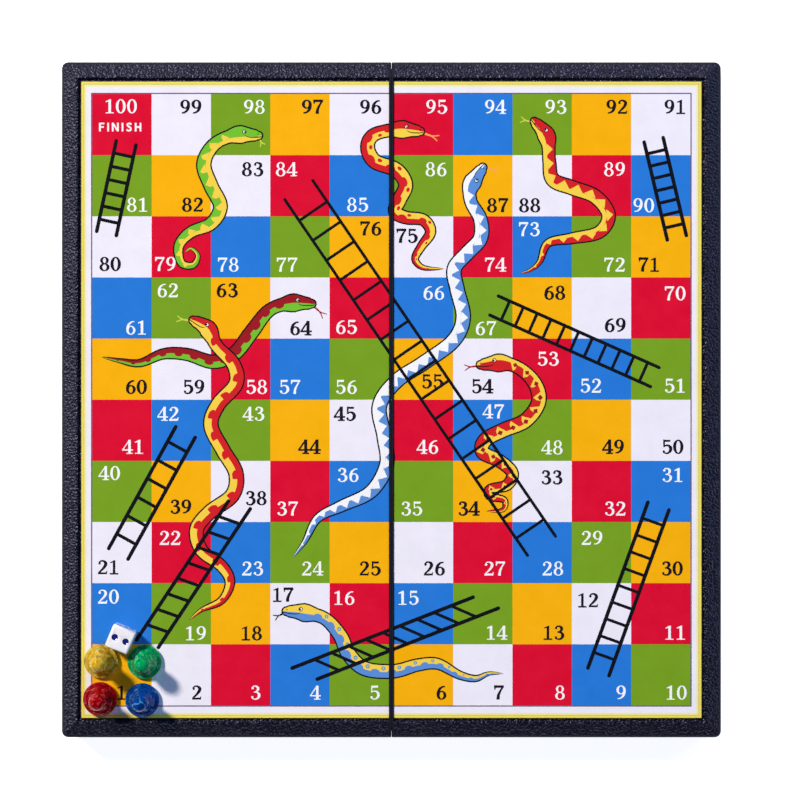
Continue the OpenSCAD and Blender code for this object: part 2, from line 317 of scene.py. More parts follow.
@dataclass(frozen=True)
class GrainedPlastic:
    """Black moulded plastic: a pebbled grain on faces that look up, plain on walls and inside."""

    name: str = "black_grained_plastic"
    dark: Colour = linear(2, 2, 6)
    pale: Colour = linear(6, 5, 13)
    stops: Point = (0.46, 0.64)
    plain: Colour = linear(4, 4, 7)
    sheen: Colour = (0.6, 0.6, 1.0, 1.0)
    sheen_level: float = 0.55
    gloss: Point = (0.8, 0.36)
    grain: float = 0.8 * MM
    depth: float = 0.7 * MM
    edge: float = 0.3 * MM
    hinge_band: float = 1.2 * MM
    facing: Point = (0.8, 0.94)

    def material(self) -> bpy.types.Material:
        """Builds the plastic: a dark mottled base, and bluish gloss on bumps and soft edges.

        Returns:
            The material.
        """
        shader = Shader(self.name, Specular_IOR_Level=self.sheen_level, Specular_Tint=self.sheen)
        normal = shader.node("ShaderNodeSeparateXYZ", {0: shader.coordinates["Normal"]}).outputs
        upward = shader.put("ShaderNodeMapRange", {
            "Value": normal["Z"], "From Min": self.facing[0], "From Max": self.facing[1]})
        across = shader.math("ABSOLUTE", shader.put("ShaderNodeSeparateXYZ", {0: shader.place}))
        top = shader.math("MULTIPLY", upward,
                          shader.math("GREATER_THAN", across, self.hinge_band))
        grained = shader.ramp(shader.noise(Noise(self.grain, 2.0, 0.7)), self.stops,
                              (self.dark, self.pale))
        colour = shader.node("ShaderNodeMix", {0: top, 6: self.plain, 7: grained},
                             data_type="RGBA").outputs[2]
        shader.feed("Base Color", colour)
        shader.feed("Roughness", shader.spread(top, *self.gloss))
        height = shader.math("MULTIPLY", shader.noise(Noise(self.grain, 0.5)), top)
        soft = shader.put("ShaderNodeBevel", {"Radius": self.edge}, samples=6)
        shader.bump(height, self.depth, 1.0, soft)
        return shader.material


@dataclass(frozen=True)
class TintedPlastic:
    """Clear plastic tinted in the mass, with swirls like the flow marks of a small moulding; their
    pale flecks are painted glints and their deep parts painted shade.
    """

    name: str
    colour: Colour
    cloud: Colour
    clear: float
    deepening: float = 0.55
    stops: tuple[float, ...] = (0.36, 0.5, 0.6, 0.68)
    swirls: Noise = Noise(2.4 * MM, 1.0, swirl=1.5)
    waves: Noise = Noise(2.2 * MM)
    wave_depth: float = 0.12 * MM
    wave_strength: float = 0.7

    def material(self) -> bpy.types.Material:
        """Builds the plastic: partly clear and glossy, with swirls of painted shade and painted
        glints, and waves.

        Returns:
            The material.
        """
        shader = Shader(self.name, Roughness=0.05, IOR=1.45, Transmission_Weight=self.clear,
                        Specular_IOR_Level=0.4, Specular_Tint=self.colour)
        # The deep tint is painted shade and the pale one painted glints.
        tints = (shade(self.colour, self.deepening), self.colour, self.colour, self.cloud)
        shader.feed("Base Color", shader.ramp(shader.noise(self.swirls), self.stops, tints))
        shader.bump(shader.noise(self.waves), self.wave_depth, self.wave_strength)
        return shader.material


class Ink(Enum):
    """The print's colours, by name, as seen on a screen."""

    # Painted shade: the dark strip at the sheet's edge, where the groove beside it lies in shade.
    UMBER = (66, 56, 22)
    BORDER = (240, 224, 96)
    OLIVE = (186, 168, 84)
    BUTTER = (248, 238, 158)
    WHITE = (242, 238, 250)
    RED = (222, 8, 48)
    BLUE = (38, 122, 216)
    GREEN = (120, 162, 32)
    ORANGE = (252, 180, 4)
    LINE = (14, 15, 22)
    RULE = (104, 90, 116)
    NUMBER = (26, 20, 28)
    SCARLET = (214, 32, 38)
    CRIMSON = (158, 26, 34)
    SUN = (250, 212, 74)
    LIME = (118, 194, 50)
    SKY = (92, 144, 216)
    AMBER = (250, 172, 84)
    MOSS = (200, 216, 74)
    MILK = (250, 250, 253)

    def material(self) -> bpy.types.Material:
        """The varnished ink of this colour, made once."""
        name = "ink_" + self.name.lower()
        return bpy.data.materials.get(name) or printed_ink(name, linear(*self.value)).material()


# Shared mesh helpers


def finished_object(name: str, mesh: bpy.types.Mesh) -> bpy.types.Object:
    """Links a mesh into the scene as a piece at the origin.

    Args:
        name: The piece's name.
        mesh: Its mesh.

    Returns:
        The piece.
    """
    piece = bpy.data.objects.new(name, mesh)
    bpy.context.scene.collection.objects.link(piece)
    return piece


def plain_mesh(name: str, mesh: bmesh.types.BMesh,
               materials: Sequence[bpy.types.Material]) -> bpy.types.Mesh:
    """Turns an edit mesh into a mesh with materials, and frees it.

    Args:
        name: The mesh's name.
        mesh: The edit mesh.
        materials: The materials that its faces number.

    Returns:
        The mesh.
    """
    data = bpy.data.meshes.new(name)
    mesh.to_mesh(data)
    mesh.free()
    for material in materials:
        data.materials.append(material)
    return data


def oval(centre: Point, radii: Point, sides: int) -> list[Point]:
    """Points round an oval, anticlockwise from its right end."""
    return [(centre[0] + radii[0] * math.cos(t), centre[1] + radii[1] * math.sin(t))
            for t in (2 * math.pi * k / sides for k in range(sides))]


def smooth_route(knots: Sequence[Point], step: float) -> list[Point]:
    """Runs a smooth curve through knots and cuts it into equal steps.

    Args:
        knots: The points that the curve passes.
        step: The distance between two points of the result.

    Returns:
        Points along the curve, from the first knot to the last.
    """
    cuts = 24
    ends = [knots[0], *knots, knots[-1]]
    fine: list[Point] = []
    for a, b, c, d in zip(ends, ends[1:], ends[2:], ends[3:]):
        for t in (k / cuts for k in range(cuts)):
            fine.append(tuple(0.5 * (2 * b[i] + (c[i] - a[i]) * t
                                     + (2 * a[i] - 5 * b[i] + 4 * c[i] - d[i]) * t * t
                                     + (3 * b[i] - a[i] - 3 * c[i] + d[i]) * t ** 3)
                              for i in (0, 1)))
    fine.append(tuple(knots[-1]))
    lengths = [0.0]
    for a, b in zip(fine, fine[1:]):
        lengths.append(lengths[-1] + math.dist(a, b))
    count = max(2, round(lengths[-1] / step))
    route: list[Point] = []
    j = 0
    for k in range(count + 1):
        want = lengths[-1] * k / count
        while j < len(lengths) - 2 and lengths[j + 1] < want:
            j += 1
        t = (want - lengths[j]) / (lengths[j + 1] - lengths[j] or 1.0)
        route.append(tuple(fine[j][i] + (fine[j + 1][i] - fine[j][i]) * t for i in (0, 1)))
    return route


def between(stops: Sequence[Point], at: float) -> float:
    """Reads a value off straight lines through stops.

    Args:
        stops: Places and values, by place.
        at: The place.

    Returns:
        The value there, or the first or last stop's value beyond them.
    """
    for (a, low), (b, high) in zip(stops, stops[1:]):
        if at <= b:
            return low + (high - low) * max(0.0, at - a) / (b - a)
    return stops[-1][1]


class GeometryTree(NodeTree):
    """A Geometry Nodes tree under construction, and the mesh it makes."""

    def __init__(self, name: str, takes_geometry: bool = False) -> None:
        """Starts an empty tree.

        Args:
            name: The tree's name.
            takes_geometry: Whether it works on the geometry of the object that carries it.
        """
        super().__init__(bpy.data.node_groups.new(name, "GeometryNodeTree"))
        for way in ("OUTPUT", "INPUT") if takes_geometry else ("OUTPUT",):
            self.tree.interface.new_socket(name="Geometry", in_out=way,
                                           socket_type="NodeSocketGeometry")
        self.entry = self.node("NodeGroupInput")
        self.exit = self.node("NodeGroupOutput")
        self.identifiers: dict[str, str] = {}

    def sizes(self, **values: object) -> list[Socket]:
        """Adds named inputs, the kind by the value: Int, Float, or Material for None.

        Args:
            values: Default value of each input by name.

        Returns:
            The sockets that the inputs arrive on.
        """
        kinds = {int: "Int", float: "Float", type(None): "Material"}
        for name, value in values.items():
            item = self.tree.interface.new_socket(
                name=name, in_out="INPUT", socket_type="NodeSocket" + kinds[type(value)])
            if value is not None:
                item.default_value = value
            self.identifiers[name] = item.identifier
        return [self.entry.outputs[name] for name in values]

    def vector(self, x: object = 0.0, y: object = 0.0, z: object = 0.0) -> Socket:
        """Joins three values or sockets into a vector and returns it."""
        return self.put("ShaderNodeCombineXYZ", {"X": x, "Y": y, "Z": z})

    def moved(self, geometry: Socket, translation: object, rotation: object = (0, 0, 0)) -> Socket:
        """Turns and moves geometry and returns it."""
        return self.put("GeometryNodeTransform", {
            "Geometry": geometry, "Translation": translation, "Rotation": rotation})

    def inked(self, geometry: Socket, ink: Socket) -> Socket:
        """Gives geometry its ink and returns it."""
        return self.put("GeometryNodeSetMaterial", {"Geometry": geometry, "Material": ink})

    def close(self, geometry: Socket) -> None:
        """Realizes the instances and ends the tree."""
        real = self.put("GeometryNodeRealizeInstances", {"Geometry": geometry})
        self.tree.links.new(real, self.exit.inputs[0])

    def mesh(self, carrier: Optional[bpy.types.Object], **values: object) -> bpy.types.Mesh:
        """Runs the tree on an object and gives back a plain mesh.

        Args:
            carrier: The object that carries the modifier for the run, a blank one if None.
                It is removed.
            values: Value of each named input that differs from its default.

        Returns:
            The tree's result as a mesh.
        """
        carrier = carrier or finished_object("blank_run", bpy.data.meshes.new("blank_run"))
        modifier = carrier.modifiers.new("tree", "NODES")
        modifier.node_group = self.tree
        for name, value in values.items():
            modifier[self.identifiers[name]] = value
        bpy.context.view_layer.update()
        graph = bpy.context.evaluated_depsgraph_get()
        result = bpy.data.meshes.new_from_object(carrier.evaluated_get(graph), depsgraph=graph)
        bpy.data.objects.remove(carrier)
        return result


# The print's parts, as flat inked shapes


@dataclass
class Stencil:
    """Flat shapes in ink, each on a level; where two overlap, the higher level shows."""

    shapes: list[tuple[float, Ink, list[Point]]] = field(default_factory=list)
    levels_per_mm: float = 0.2
    no_area: float = 1e-12

    def polygon(self, level: float, ink: Ink, points: Sequence[Point]) -> None:
        """Adds a filled shape, turned so that it runs anticlockwise. One without area is left out.

        Args:
            level: The shape's level.
            ink: Its ink.
            points: Its outline.
        """
        area = sum(a[0] * b[1] - b[0] * a[1] for a, b in zip(points, [*points[1:], points[0]]))
        if abs(area) > self.no_area:
            self.shapes.append((level, ink, list(points if area > 0 else reversed(points))))

    def disc(self, level: float, ink: Ink, centre: Point, radius: float, sides: int) -> None:
        """Adds a round spot."""
        self.polygon(level, ink, oval(centre, (radius, radius), sides))

    def mesh(self, level: float, mesh: bpy.types.Mesh, place: Matrix) -> None:
        """Adds a flat mesh's faces and removes the mesh.

        Args:
            level: The level of a face at height zero. A higher face gets a higher level.
            mesh: The mesh, with inks as its materials.
            place: Where the mesh goes on the sheet.
        """
        inks = {ink.material().name: ink for ink in Ink}
        for face in mesh.polygons:
            points = [place @ mesh.vertices[v].co for v in face.vertices]
            lift = sum(p.z for p in points) / len(points) / MM * self.levels_per_mm
            ink = inks[mesh.materials[face.material_index].name]
            self.polygon(level + lift, ink, [(p.x, p.y) for p in points])
        bpy.data.meshes.remove(mesh)

    def stroke(self, level: float, ink: Ink, knots: Sequence[Point], widths: Sequence[float],
               place: Callable[[Point], Point], steps: int = 12) -> None:
        """Adds a stroke of changing width along a smooth curve.

        Args:
            level: The stroke's level.
            ink: Its ink.
            knots: Points that the middle of the stroke passes.
            widths: The stroke's width at each knot.
            place: Moves a point from the stroke's own units to the sheet.
            steps: Pieces between its ends.
        """
        at = [0.0]
        for a, b in zip(knots, knots[1:]):
            at.append(at[-1] + math.dist(a, b))
        route = smooth_route(knots, at[-1] / steps)
        stops = [(x / at[-1], w) for x, w in zip(at, widths)]
        left, right = [], []
        for k, point in enumerate(route):
            a, b = route[max(0, k - 1)], route[min(len(route) - 1, k + 1)]
            span = math.dist(a, b) or 1.0
            half = between(stops, k / (len(route) - 1)) / 2
            nx, ny = -(b[1] - a[1]) / span * half, (b[0] - a[0]) / span * half
            left.append(place((point[0] + nx, point[1] + ny)))
            right.append(place((point[0] - nx, point[1] - ny)))
        for a, b, c, d in zip(left, right, right[1:], left[1:]):
            self.polygon(level, ink, [a, b, c, d])


@dataclass(frozen=True)
class Pen:
    """Draws the parts of a letter or figure, in units of its height, in ink on a stencil.

    The parts are text: the names of the pen's methods, each with its points, between semicolons.
    """

    sheet: Stencil
    ink: Ink
    origin: Point
    scale: Point
    bold: float = 0.0
    turned: bool = False
    level: float = 40.0
    turned_width: float = 0.74
    ball_radius: float = 0.08

    def at(self, point: Point) -> Point:
        """Moves a point from the letter's units to the sheet, half a turn round if turned."""
        x, y = (self.turned_width - point[0], 1.0 - point[1]) if self.turned else point
        return self.origin[0] + x * self.scale[0], self.origin[1] + y * self.scale[1]

    def draw(self, parts: str) -> None:
        """Draws every part."""
        for kind, *values in (part.split() for part in parts.split(";")):
            getattr(self, kind)(*trace(" ".join(values)))

    def bar(self, *points: Point) -> None:
        """Fills an outline."""
        self.sheet.polygon(self.level, self.ink, [self.at(p) for p in points])

    def box(self, low: Point, high: Point) -> None:
        """Fills an upright box, grown by half of the boldness."""
        (x0, y0), (x1, y1) = (v - self.bold / 2 for v in low), (v + self.bold / 2 for v in high)
        self.bar((x0, y0), (x1, y0), (x1, y1), (x0, y1))

    def ball(self, centre: Point) -> None:
        """Fills the round end of a stroke."""
        self.bar(*oval(centre, (self.ball_radius, self.ball_radius), 10))

    def ring(self, centre: Point, outer: Point, inner: Point) -> None:
        """Fills the space between two ovals.

        Args:
            centre: The middle of both.
            outer: The outer oval's radii.
            inner: The inner oval's radii.
        """
        fat, sides = self.bold / 2, 24
        outside = oval(centre, (outer[0] + fat, outer[1] + fat / 2), sides)
        inside = oval(centre, (inner[0] - fat, inner[1] - fat), sides)
        for k in range(sides):
            n = (k + 1) % sides
            self.bar(outside[k], outside[n], inside[n], inside[k])

    def line(self, *knots: Place) -> None:
        """Draws a stroke through knots, each two places and the stroke's width there."""
        self.sheet.stroke(self.level, self.ink, [knot[:2] for knot in knots],
                          [knot[2] + self.bold for knot in knots], self.at)


FIGURE_PARTS: dict[str, str] = {
    "0": "ring .36,.5 .31,.51 .15,.44",
    "1": "bar .29,0 .45,0 .45,1 .38,1 .12,.86 .12,.79 .29,.83; box .12,0 .62,.07",
    "2": "line .13,.76,.06 .2,.92,.07 .36,.96,.08 .53,.86,.16 .55,.68,.17 .4,.42,.12 .2,.2,.08 "
         ".1,.08,.06; bar .06,0 .62,0 .66,.24 .61,.24 .56,.14 .08,.14; ball .17,.77",
    "3": "line .14,.82,.06 .22,.94,.07 .36,.96,.08 .51,.87,.15 .52,.7,.15 .4,.57,.08 "
         ".26,.54,.06; line .26,.54,.06 .44,.52,.08 .57,.42,.15 .59,.24,.17 .48,.07,.11 "
         ".3,.03,.07 .13,.12,.06; ball .18,.82; ball .16,.17",
    "4": "line .47,.98,.07 .26,.64,.07 .05,.29,.07; box .02,.23 .7,.32; box .4,0 .56,1; "
         "box .28,0 .68,.07",
    "5": "bar .15,1 .58,1 .56,.85 .15,.85; box .14,.5 .21,1; line .17,.52,.06 .3,.61,.07 "
         ".47,.58,.12 .58,.44,.17 .58,.24,.17 .46,.07,.1 .3,.03,.07 .13,.12,.06; ball .16,.17",
    "6": "ring .38,.31 .29,.32 .14,.25; line .6,.93,.06 .42,.9,.09 .24,.72,.14 .165,.46,.15 "
         ".17,.3,.15",
    "7": "box .08,.86 .66,1; bar .08,1 .08,.7 .13,.7 .19,.87; line .62,.92,.07 .46,.62,.1 "
         ".34,.32,.14 .31,0,.17",
    "8": "ring .36,.75 .25,.26 .12,.2; ring .36,.27 .3,.28 .15,.22"}
STEM = "box 0,0 .205,1"
LETTER_PARTS: dict[str, tuple[float, str]] = {
    "F": (0.62, f"{STEM}; box 0,.8155 .62,1; box 0,.42 .56,.59425"),
    "I": (0.205, STEM),
    "N": (0.8, f"{STEM}; box .595,0 .8,1; bar 0,1 .205,1 .8,0 .595,0"),
    "S": (0.66, "line .6,.78,.2 .46,.91,.2 .2,.9,.2 .12,.71,.2 .33,.54,.2 .55,.36,.2 .47,.11,.2 "
                ".2,.09,.2 .05,.22,.2"),
    "H": (0.76, f"{STEM}; box .555,0 .76,1; box 0,.4 .76,.6")}


@dataclass
class Figures:
    """Upright serif figures for the squares' numbers."""

    height: float = 5.2 * MM
    widening: float = 1.13
    advance: float = 0.8
    widest: float = 0.72
    bold: float = 0.0

    def number(self, sheet: Stencil, ink: Ink, value: int, centre: Point) -> None:
        """Sets a number around a point of the sheet. A nine is a six half a turn round.

        Args:
            sheet: The stencil that takes the ink.
            ink: The ink.
            value: The number.
            centre: The point.
        """
        text = str(value)
        width = self.advance * (len(text) - 1) + self.widest * self.widening
        base = centre[1] - self.height / 2
        for k, digit in enumerate(text):
            start = centre[0] + (k * self.advance - width / 2) * self.height
            pen = Pen(sheet, ink, (start, base), (self.height * self.widening, self.height),
                      self.bold, turned=digit == "9")
            pen.draw(FIGURE_PARTS["6" if digit == "9" else digit])


@dataclass
class PlainCapitals:
    """Plain bold capitals for the last square's word."""

    height: float = 3.2 * MM
    gap: float = 0.33

    def word(self, sheet: Stencil, ink: Ink, text: str, centre: Point) -> None:
        """Sets a word around a point of the sheet.

        Args:
            sheet: The stencil that takes the ink.
            ink: The ink.
            text: The word.
            centre: The point.
        """
        total = sum(LETTER_PARTS[c][0] for c in text) + self.gap * (len(text) - 1)
        start = centre[0] - total / 2 * self.height
        for width, parts in (LETTER_PARTS[c] for c in text):
            pen = Pen(sheet, ink, (start, centre[1] - self.height / 2), (self.height, self.height))
            pen.draw(parts)
            start += (width + self.gap) * self.height


@dataclass
class Ladder:
    """A ladder of two rails and its rungs, drawn flat by Geometry Nodes."""

    top: Point
    foot: Point
    gauge: float
    rungs: int
    rail: float = 1.4 * MM
    rung: float = 1.25 * MM
    overhang: float = 6.2 * MM
    slant: float = 0.0
    shift: float = 0.0
    level: float = 30.0

    @staticmethod
    def tree() -> GeometryTree:
        """Builds the tree that lays the rails and rungs, once for all ladders.

        Returns:
            The tree.
        """
        tree = GeometryTree("flat_ladder")
        length, gauge, rungs, rail, rung, overhang, slant, rung_shift, ink = tree.sizes(
            length=60 * MM, gauge=8 * MM, rungs=7, rail=1 * MM, rung=1 * MM, overhang=6 * MM,
            slant=0.0, shift=0.0, ink=None)

        def bar(width: Socket, height: Socket) -> Socket:
            """A flat bar round the origin."""
            return tree.put("GeometryNodeMeshGrid", {"Size X": width, "Size Y": height,
                                                     "Vertices X": 2, "Vertices Y": 2})
        rails = [tree.moved(bar(rail, length), tree.vector(tree.math("MULTIPLY", gauge, side),
                                                           tree.math("MULTIPLY", slant, side)))
                 for side in (-0.5, 0.5)]
        reach = tree.math("SUBTRACT", length, tree.math("MULTIPLY", overhang, 2.0))
        pitch = tree.math("DIVIDE", reach, tree.math("SUBTRACT", rungs, 1.0))
        start = tree.math("ADD", tree.math("MULTIPLY", reach, -0.5), rung_shift)
        places = tree.put("GeometryNodeMeshLine", {
            "Count": rungs, "Start Location": tree.vector(0.0, start),
            "Offset": tree.vector(0.0, pitch)})
        across = tree.math("SQRT", tree.math("ADD", tree.math("MULTIPLY", gauge, gauge),
                                             tree.math("MULTIPLY", slant, slant)))
        steps = tree.put("GeometryNodeInstanceOnPoints", {
            "Points": places, "Instance": bar(across, rung),
            "Rotation": tree.vector(0.0, 0.0, tree.math("ARCTAN2", slant, gauge))})
        tree.close(tree.inked(tree.put("GeometryNodeJoinGeometry", {0: [*rails, steps]}), ink))
        return tree

    def draw(self, sheet: Stencil, tree: GeometryTree, place: Callable[[Point], Point]) -> None:
        """Draws the ladder on the sheet.

        Args:
            sheet: The stencil that takes the ink.
            tree: The ladders' tree.
            place: Moves a point from squares to metres.
        """
        top, foot = Vector(place(self.top)), Vector(place(self.foot))
        along = top - foot
        turn = Matrix.Rotation(math.atan2(along.y, along.x) - math.pi / 2, 4, "Z")
        where = Matrix.Translation(((top + foot) / 2).to_3d()) @ turn
        sheet.mesh(self.level, tree.mesh(
            None, length=along.length, gauge=self.gauge, rungs=self.rungs, rail=self.rail,
            rung=self.rung, overhang=self.overhang, slant=self.slant, shift=self.shift,
            ink=Ink.LINE.material()), where)
        for side in (-0.5, 0.5):
            for end in (-0.5, 0.5):
                rise = self.slant * side + along.length * end
                tip = where @ Vector((self.gauge * side, rise, 0.0))
                sheet.disc(self.level, Ink.LINE, (tip.x, tip.y), self.rail / 2, 12)


class Mark(Enum):
    """The corners of one mark on a snake's body."""

    TOOTH = 3
    DIAMOND = 4
    SPOT = 12


@dataclass(frozen=True)
class MarkRow:
    """A row of marks along a snake, in units of the body's half width but for the distances."""

    shape: Mark
    ink: Ink
    offset: float = 0.0
    size: float = 0.6
    pitch: float = 5.0 * MM
    start: float = 12.0 * MM
    stop: float = 6.0 * MM
    stretch: float = 1.0
    point: float = 1.0
    height: float = 0.12 * MM
    layer: float = 0.02 * MM

    @staticmethod
    def tree() -> GeometryTree:
        """Builds the tree that sets marks along a path, once for all rows.

        Returns:
            The tree.
        """
        tree = GeometryTree("marks_on_path", takes_geometry=True)
        count, corners, first, last, size, offset, stretch, point, height, ink = tree.sizes(
            count=12, corners=3, first=0.1, last=0.9, size=0.6, offset=0.0, stretch=1.0,
            point=1.0, height=0.15 * MM, ink=None)
        part = tree.put("GeometryNodeTrimCurve", {"Curve": tree.entry.outputs["Geometry"],
                                                  "Start": first, "End": last})
        places = tree.node("GeometryNodeCurveToPoints", {"Curve": part, "Count": count},
                           mode="COUNT").outputs
        shape = tree.put("GeometryNodeMeshCircle", {"Vertices": corners, "Radius": size},
                         fill_type="NGON")
        shape = tree.moved(shape, tree.vector(0.0, offset, 0.0),
                           tree.vector(0.0, 0.0, tree.math("MULTIPLY", point, math.pi / 2)))
        turn = tree.put("FunctionNodeAxesToRotation", {0: (0, 0, 1), 1: places["Tangent"]},
                        primary_axis="Z", secondary_axis="X")
        radius = tree.put("GeometryNodeInputRadius")
        marks = tree.put("GeometryNodeInstanceOnPoints", {
            "Points": places["Points"], "Instance": shape, "Rotation": turn,
            "Scale": tree.vector(tree.math("MULTIPLY", radius, stretch), radius, 1.0)})
        tree.close(tree.inked(tree.moved(marks, tree.vector(0.0, 0.0, height)), ink))
        return tree

    def mesh(self, tree: GeometryTree, path: bpy.types.Object, length: float,
             order: int) -> bpy.types.Mesh:
        """Runs the tree for this row.

        Args:
            tree: The rows' tree.
            path: The snake's path.
            length: The path's length.
            order: The row's place above the rows drawn before it.

        Returns:
            The row's marks.
        """
        count = max(2, round((length - self.start - self.stop) / self.pitch))
        return tree.mesh(path, count=count, corners=self.shape.value, first=self.start / length,
                         last=1 - self.stop / length, size=self.size, offset=self.offset,
                         stretch=self.stretch, point=self.point,
                         height=self.height + self.layer * order, ink=self.ink.material())


@dataclass
class Snake:
    """A snake drawn flat: an outlined body in two inks, rows of marks, a face and a tongue.

    Left and right are as seen on the way from the head to the tail. The head's and the tail's
    widths are shares of the half width at distances from the snout and the tip.
    """

    route: list[Point]
    left: Ink
    right: Ink
    rows: list[MarkRow]
    split: float = 0.0
    back_left: bool = True
    tongue: Ink = Ink.SCARLET
    tongue_turn: float = 0.0
    tongue_length: float = 6.0
    half: float = 2.35 * MM
    line: float = 0.55 * MM
    climb: float = 0.02
    step: float = 0.8 * MM
    level: float = 10.0
    head_widths: tuple[Point, ...] = (
        (0.0, 0.56), (0.8 * MM, 0.76), (2.4 * MM, 0.86), (4.2 * MM, 1.04), (6.2 * MM, 1.3),
        (8.2 * MM, 1.24), (11 * MM, 0.9), (14.5 * MM, 0.86), (26 * MM, 1.02), (1.0, 1.02))
    tail_widths: tuple[Point, ...] = ((0.0, 0.0), (0.03, 0.11), (0.2, 0.4), (0.45, 0.76),
                                      (0.75, 0.96), (1.0, 1.0))
    tail_length: float = 60 * MM
    neck: float = 5 * MM
    outline_rise: float = 0.004
    snout_rise: float = 0.015
    face_rise: float = 0.06
    tongue_rise: float = -0.5
    mouth: tuple[Point, ...] = tuple(trace("-1.3,-.35 .8,-.7 3.6,-.85 5,-.4"))
    mouth_widths: tuple[float, ...] = (0.34, 0.36, 0.32, 0.2)
    tongue_widths: tuple[float, ...] = (0.6, 0.5, 0.35)
    tongue_root: Point = (0.0, -0.3)
    fork_share: float = 0.6
    fork_half: float = 1.1

    @staticmethod
    def tree() -> GeometryTree:
        """Builds the tree that lays an outline and two bands along a path, once for all snakes.

        Returns:
            The tree.
        """
        tree = GeometryTree("flat_snake", takes_geometry=True)
        split, outline, line_ink, left_ink, right_ink = tree.sizes(
            split=0.0, outline=0.4 * MM, line_ink=None, left_ink=None, right_ink=None)
        path, radius = tree.entry.outputs["Geometry"], tree.put("GeometryNodeInputRadius")
        thin = tree.math("MINIMUM", tree.math("MULTIPLY_ADD", radius, 1 / MM, 0.15), 1.0)

        def band(low: object, grow: object, height: float, ink: Socket) -> Socket:
            """Lays a strip of the body, from a place across it to its right edge.

            Args:
                low: The place, in half widths.
                grow: How much wider the strip is than the body.
                height: Its height in millimetres.
                ink: Its ink.

            Returns:
                The strip.
            """
            profile = tree.put("GeometryNodeCurvePrimitiveLine",
                               {"Start": tree.vector(low), "End": tree.vector(1.0)})
            strip = tree.put("GeometryNodeCurveToMesh", {
                "Curve": path, "Profile Curve": profile, "Scale": tree.math("ADD", radius, grow)})
            return tree.inked(tree.moved(strip, (0, 0, height * MM)), ink)
        bands = [band(-1.0, tree.math("MULTIPLY", outline, thin), 0.0, line_ink),
                 band(-1.0, 0.0, 0.05, left_ink), band(split, 0.0, 0.1, right_ink)]
        tree.close(tree.put("GeometryNodeJoinGeometry", {0: bands}))
        return tree

    def radius(self, at: float, length: float) -> float:
        """Half the body's width at a distance from the snout."""
        tail = between(self.tail_widths, (length - at) / self.tail_length)
        return self.half * between(self.head_widths, at) * tail

    def path(self, points: Sequence[Point]) -> bpy.types.Object:
        """Makes the curve that a tree follows. It climbs a little, so that a coil shows its edge.

        Args:
            points: The snake's route.

        Returns:
            An object that carries the curve, with half the body's width as its radius.
        """
        curve = bpy.data.curves.new("snake_path", "CURVE")
        curve.dimensions = "3D"
        curve.twist_mode = "Z_UP"
        spline = curve.splines.new("POLY")
        spline.points.add(len(points) - 1)
        for k, (point, target) in enumerate(zip(points, spline.points)):
            target.co = (*point, k * self.step * self.climb, 1.0)
            target.radius = self.radius(k * self.step, self.step * (len(points) - 1))
        carrier = bpy.data.objects.new("snake_run", curve)
        bpy.context.scene.collection.objects.link(carrier)
        return carrier

    def draw(self, sheet: Stencil, body: GeometryTree, marks: GeometryTree,
             place: Callable[[Point], Point]) -> None:
        """Draws the snake on the sheet.

        Args:
            sheet: The stencil that takes the ink.
            body: The snakes' tree.
            marks: The rows' tree.
            place: Moves a point from squares to metres.
        """
        points = smooth_route([place(p) for p in self.route], self.step)
        length = self.step * (len(points) - 1)
        flat = Matrix.Identity(4)
        sheet.mesh(self.level, body.mesh(
            self.path(points), split=self.split, outline=self.line, line_ink=Ink.LINE.material(),
            left_ink=self.left.material(), right_ink=self.right.material()), flat)
        for order, row in enumerate(self.rows):
            sheet.mesh(self.level, row.mesh(marks, self.path(points), length, order), flat)
        self.face(sheet, points)

    def face(self, sheet: Stencil, points: Sequence[Point]) -> None:
        """Draws the snout, the eye, the mouth and the forked tongue at the route's start.

        Args:
            sheet: The stencil that takes the ink.
            points: The snake's route.
        """
        snout = Vector(points[0])
        along = (Vector(points[round(self.neck / self.step)]) - snout).normalized()
        across = Vector((-along.y, along.x)) * (1 if self.back_left else -1)

        def at(point: Point) -> Point:
            """Moves a point from millimetres along and up the head to the sheet."""
            return tuple(snout + (along * point[0] + across * point[1]) * MM)
        radius = self.radius(0.0, self.step * (len(points) - 1)) / MM
        sheet.disc(self.level + self.outline_rise, Ink.LINE, tuple(snout),
                   radius * MM + self.line, 20)
        for side, ink in ((1, self.left), (-1, self.right)):
            upper = side if self.back_left else -side
            arc = [(-math.cos(turn) * radius, math.sin(turn) * radius * upper)
                   for turn in (k * math.pi / 12 for k in range(7))]
            rim = [(0.3, 0.0), *arc, (0.3, radius * upper)]
            sheet.polygon(self.level + self.snout_rise, ink, [at(p) for p in rim])
        top = self.level + self.face_rise
        eye, pupil, nostril = (5.3, 1.0), (5.1, 0.95), (0.2, 0.6)
        for rise, ink, spot, size, sides in (
                (0.0, Ink.LINE, eye, 0.8, 12), (0.01, Ink.MILK, eye, 0.52, 12),
                (0.02, Ink.LINE, pupil, 0.34, 8), (0.0, Ink.LINE, nostril, 0.24, 6)):
            sheet.disc(top + rise, ink, at(spot), size * MM, sides)
        sheet.stroke(top, Ink.LINE, self.mouth, self.mouth_widths, at, 6)
        turn = math.radians(self.tongue_turn)
        way = Matrix.Rotation(turn, 2)
        root = Vector(self.tongue_root)
        for spread in (self.fork_half, -self.fork_half):
            fork = root + way @ Vector((-self.tongue_length * self.fork_share, 0.0))
            tip = root + way @ Vector((-self.tongue_length, spread))
            sheet.stroke(self.level + self.tongue_rise, self.tongue,
                         [tuple(p) for p in (root, fork, tip)], self.tongue_widths, at, 7)


# The sheets


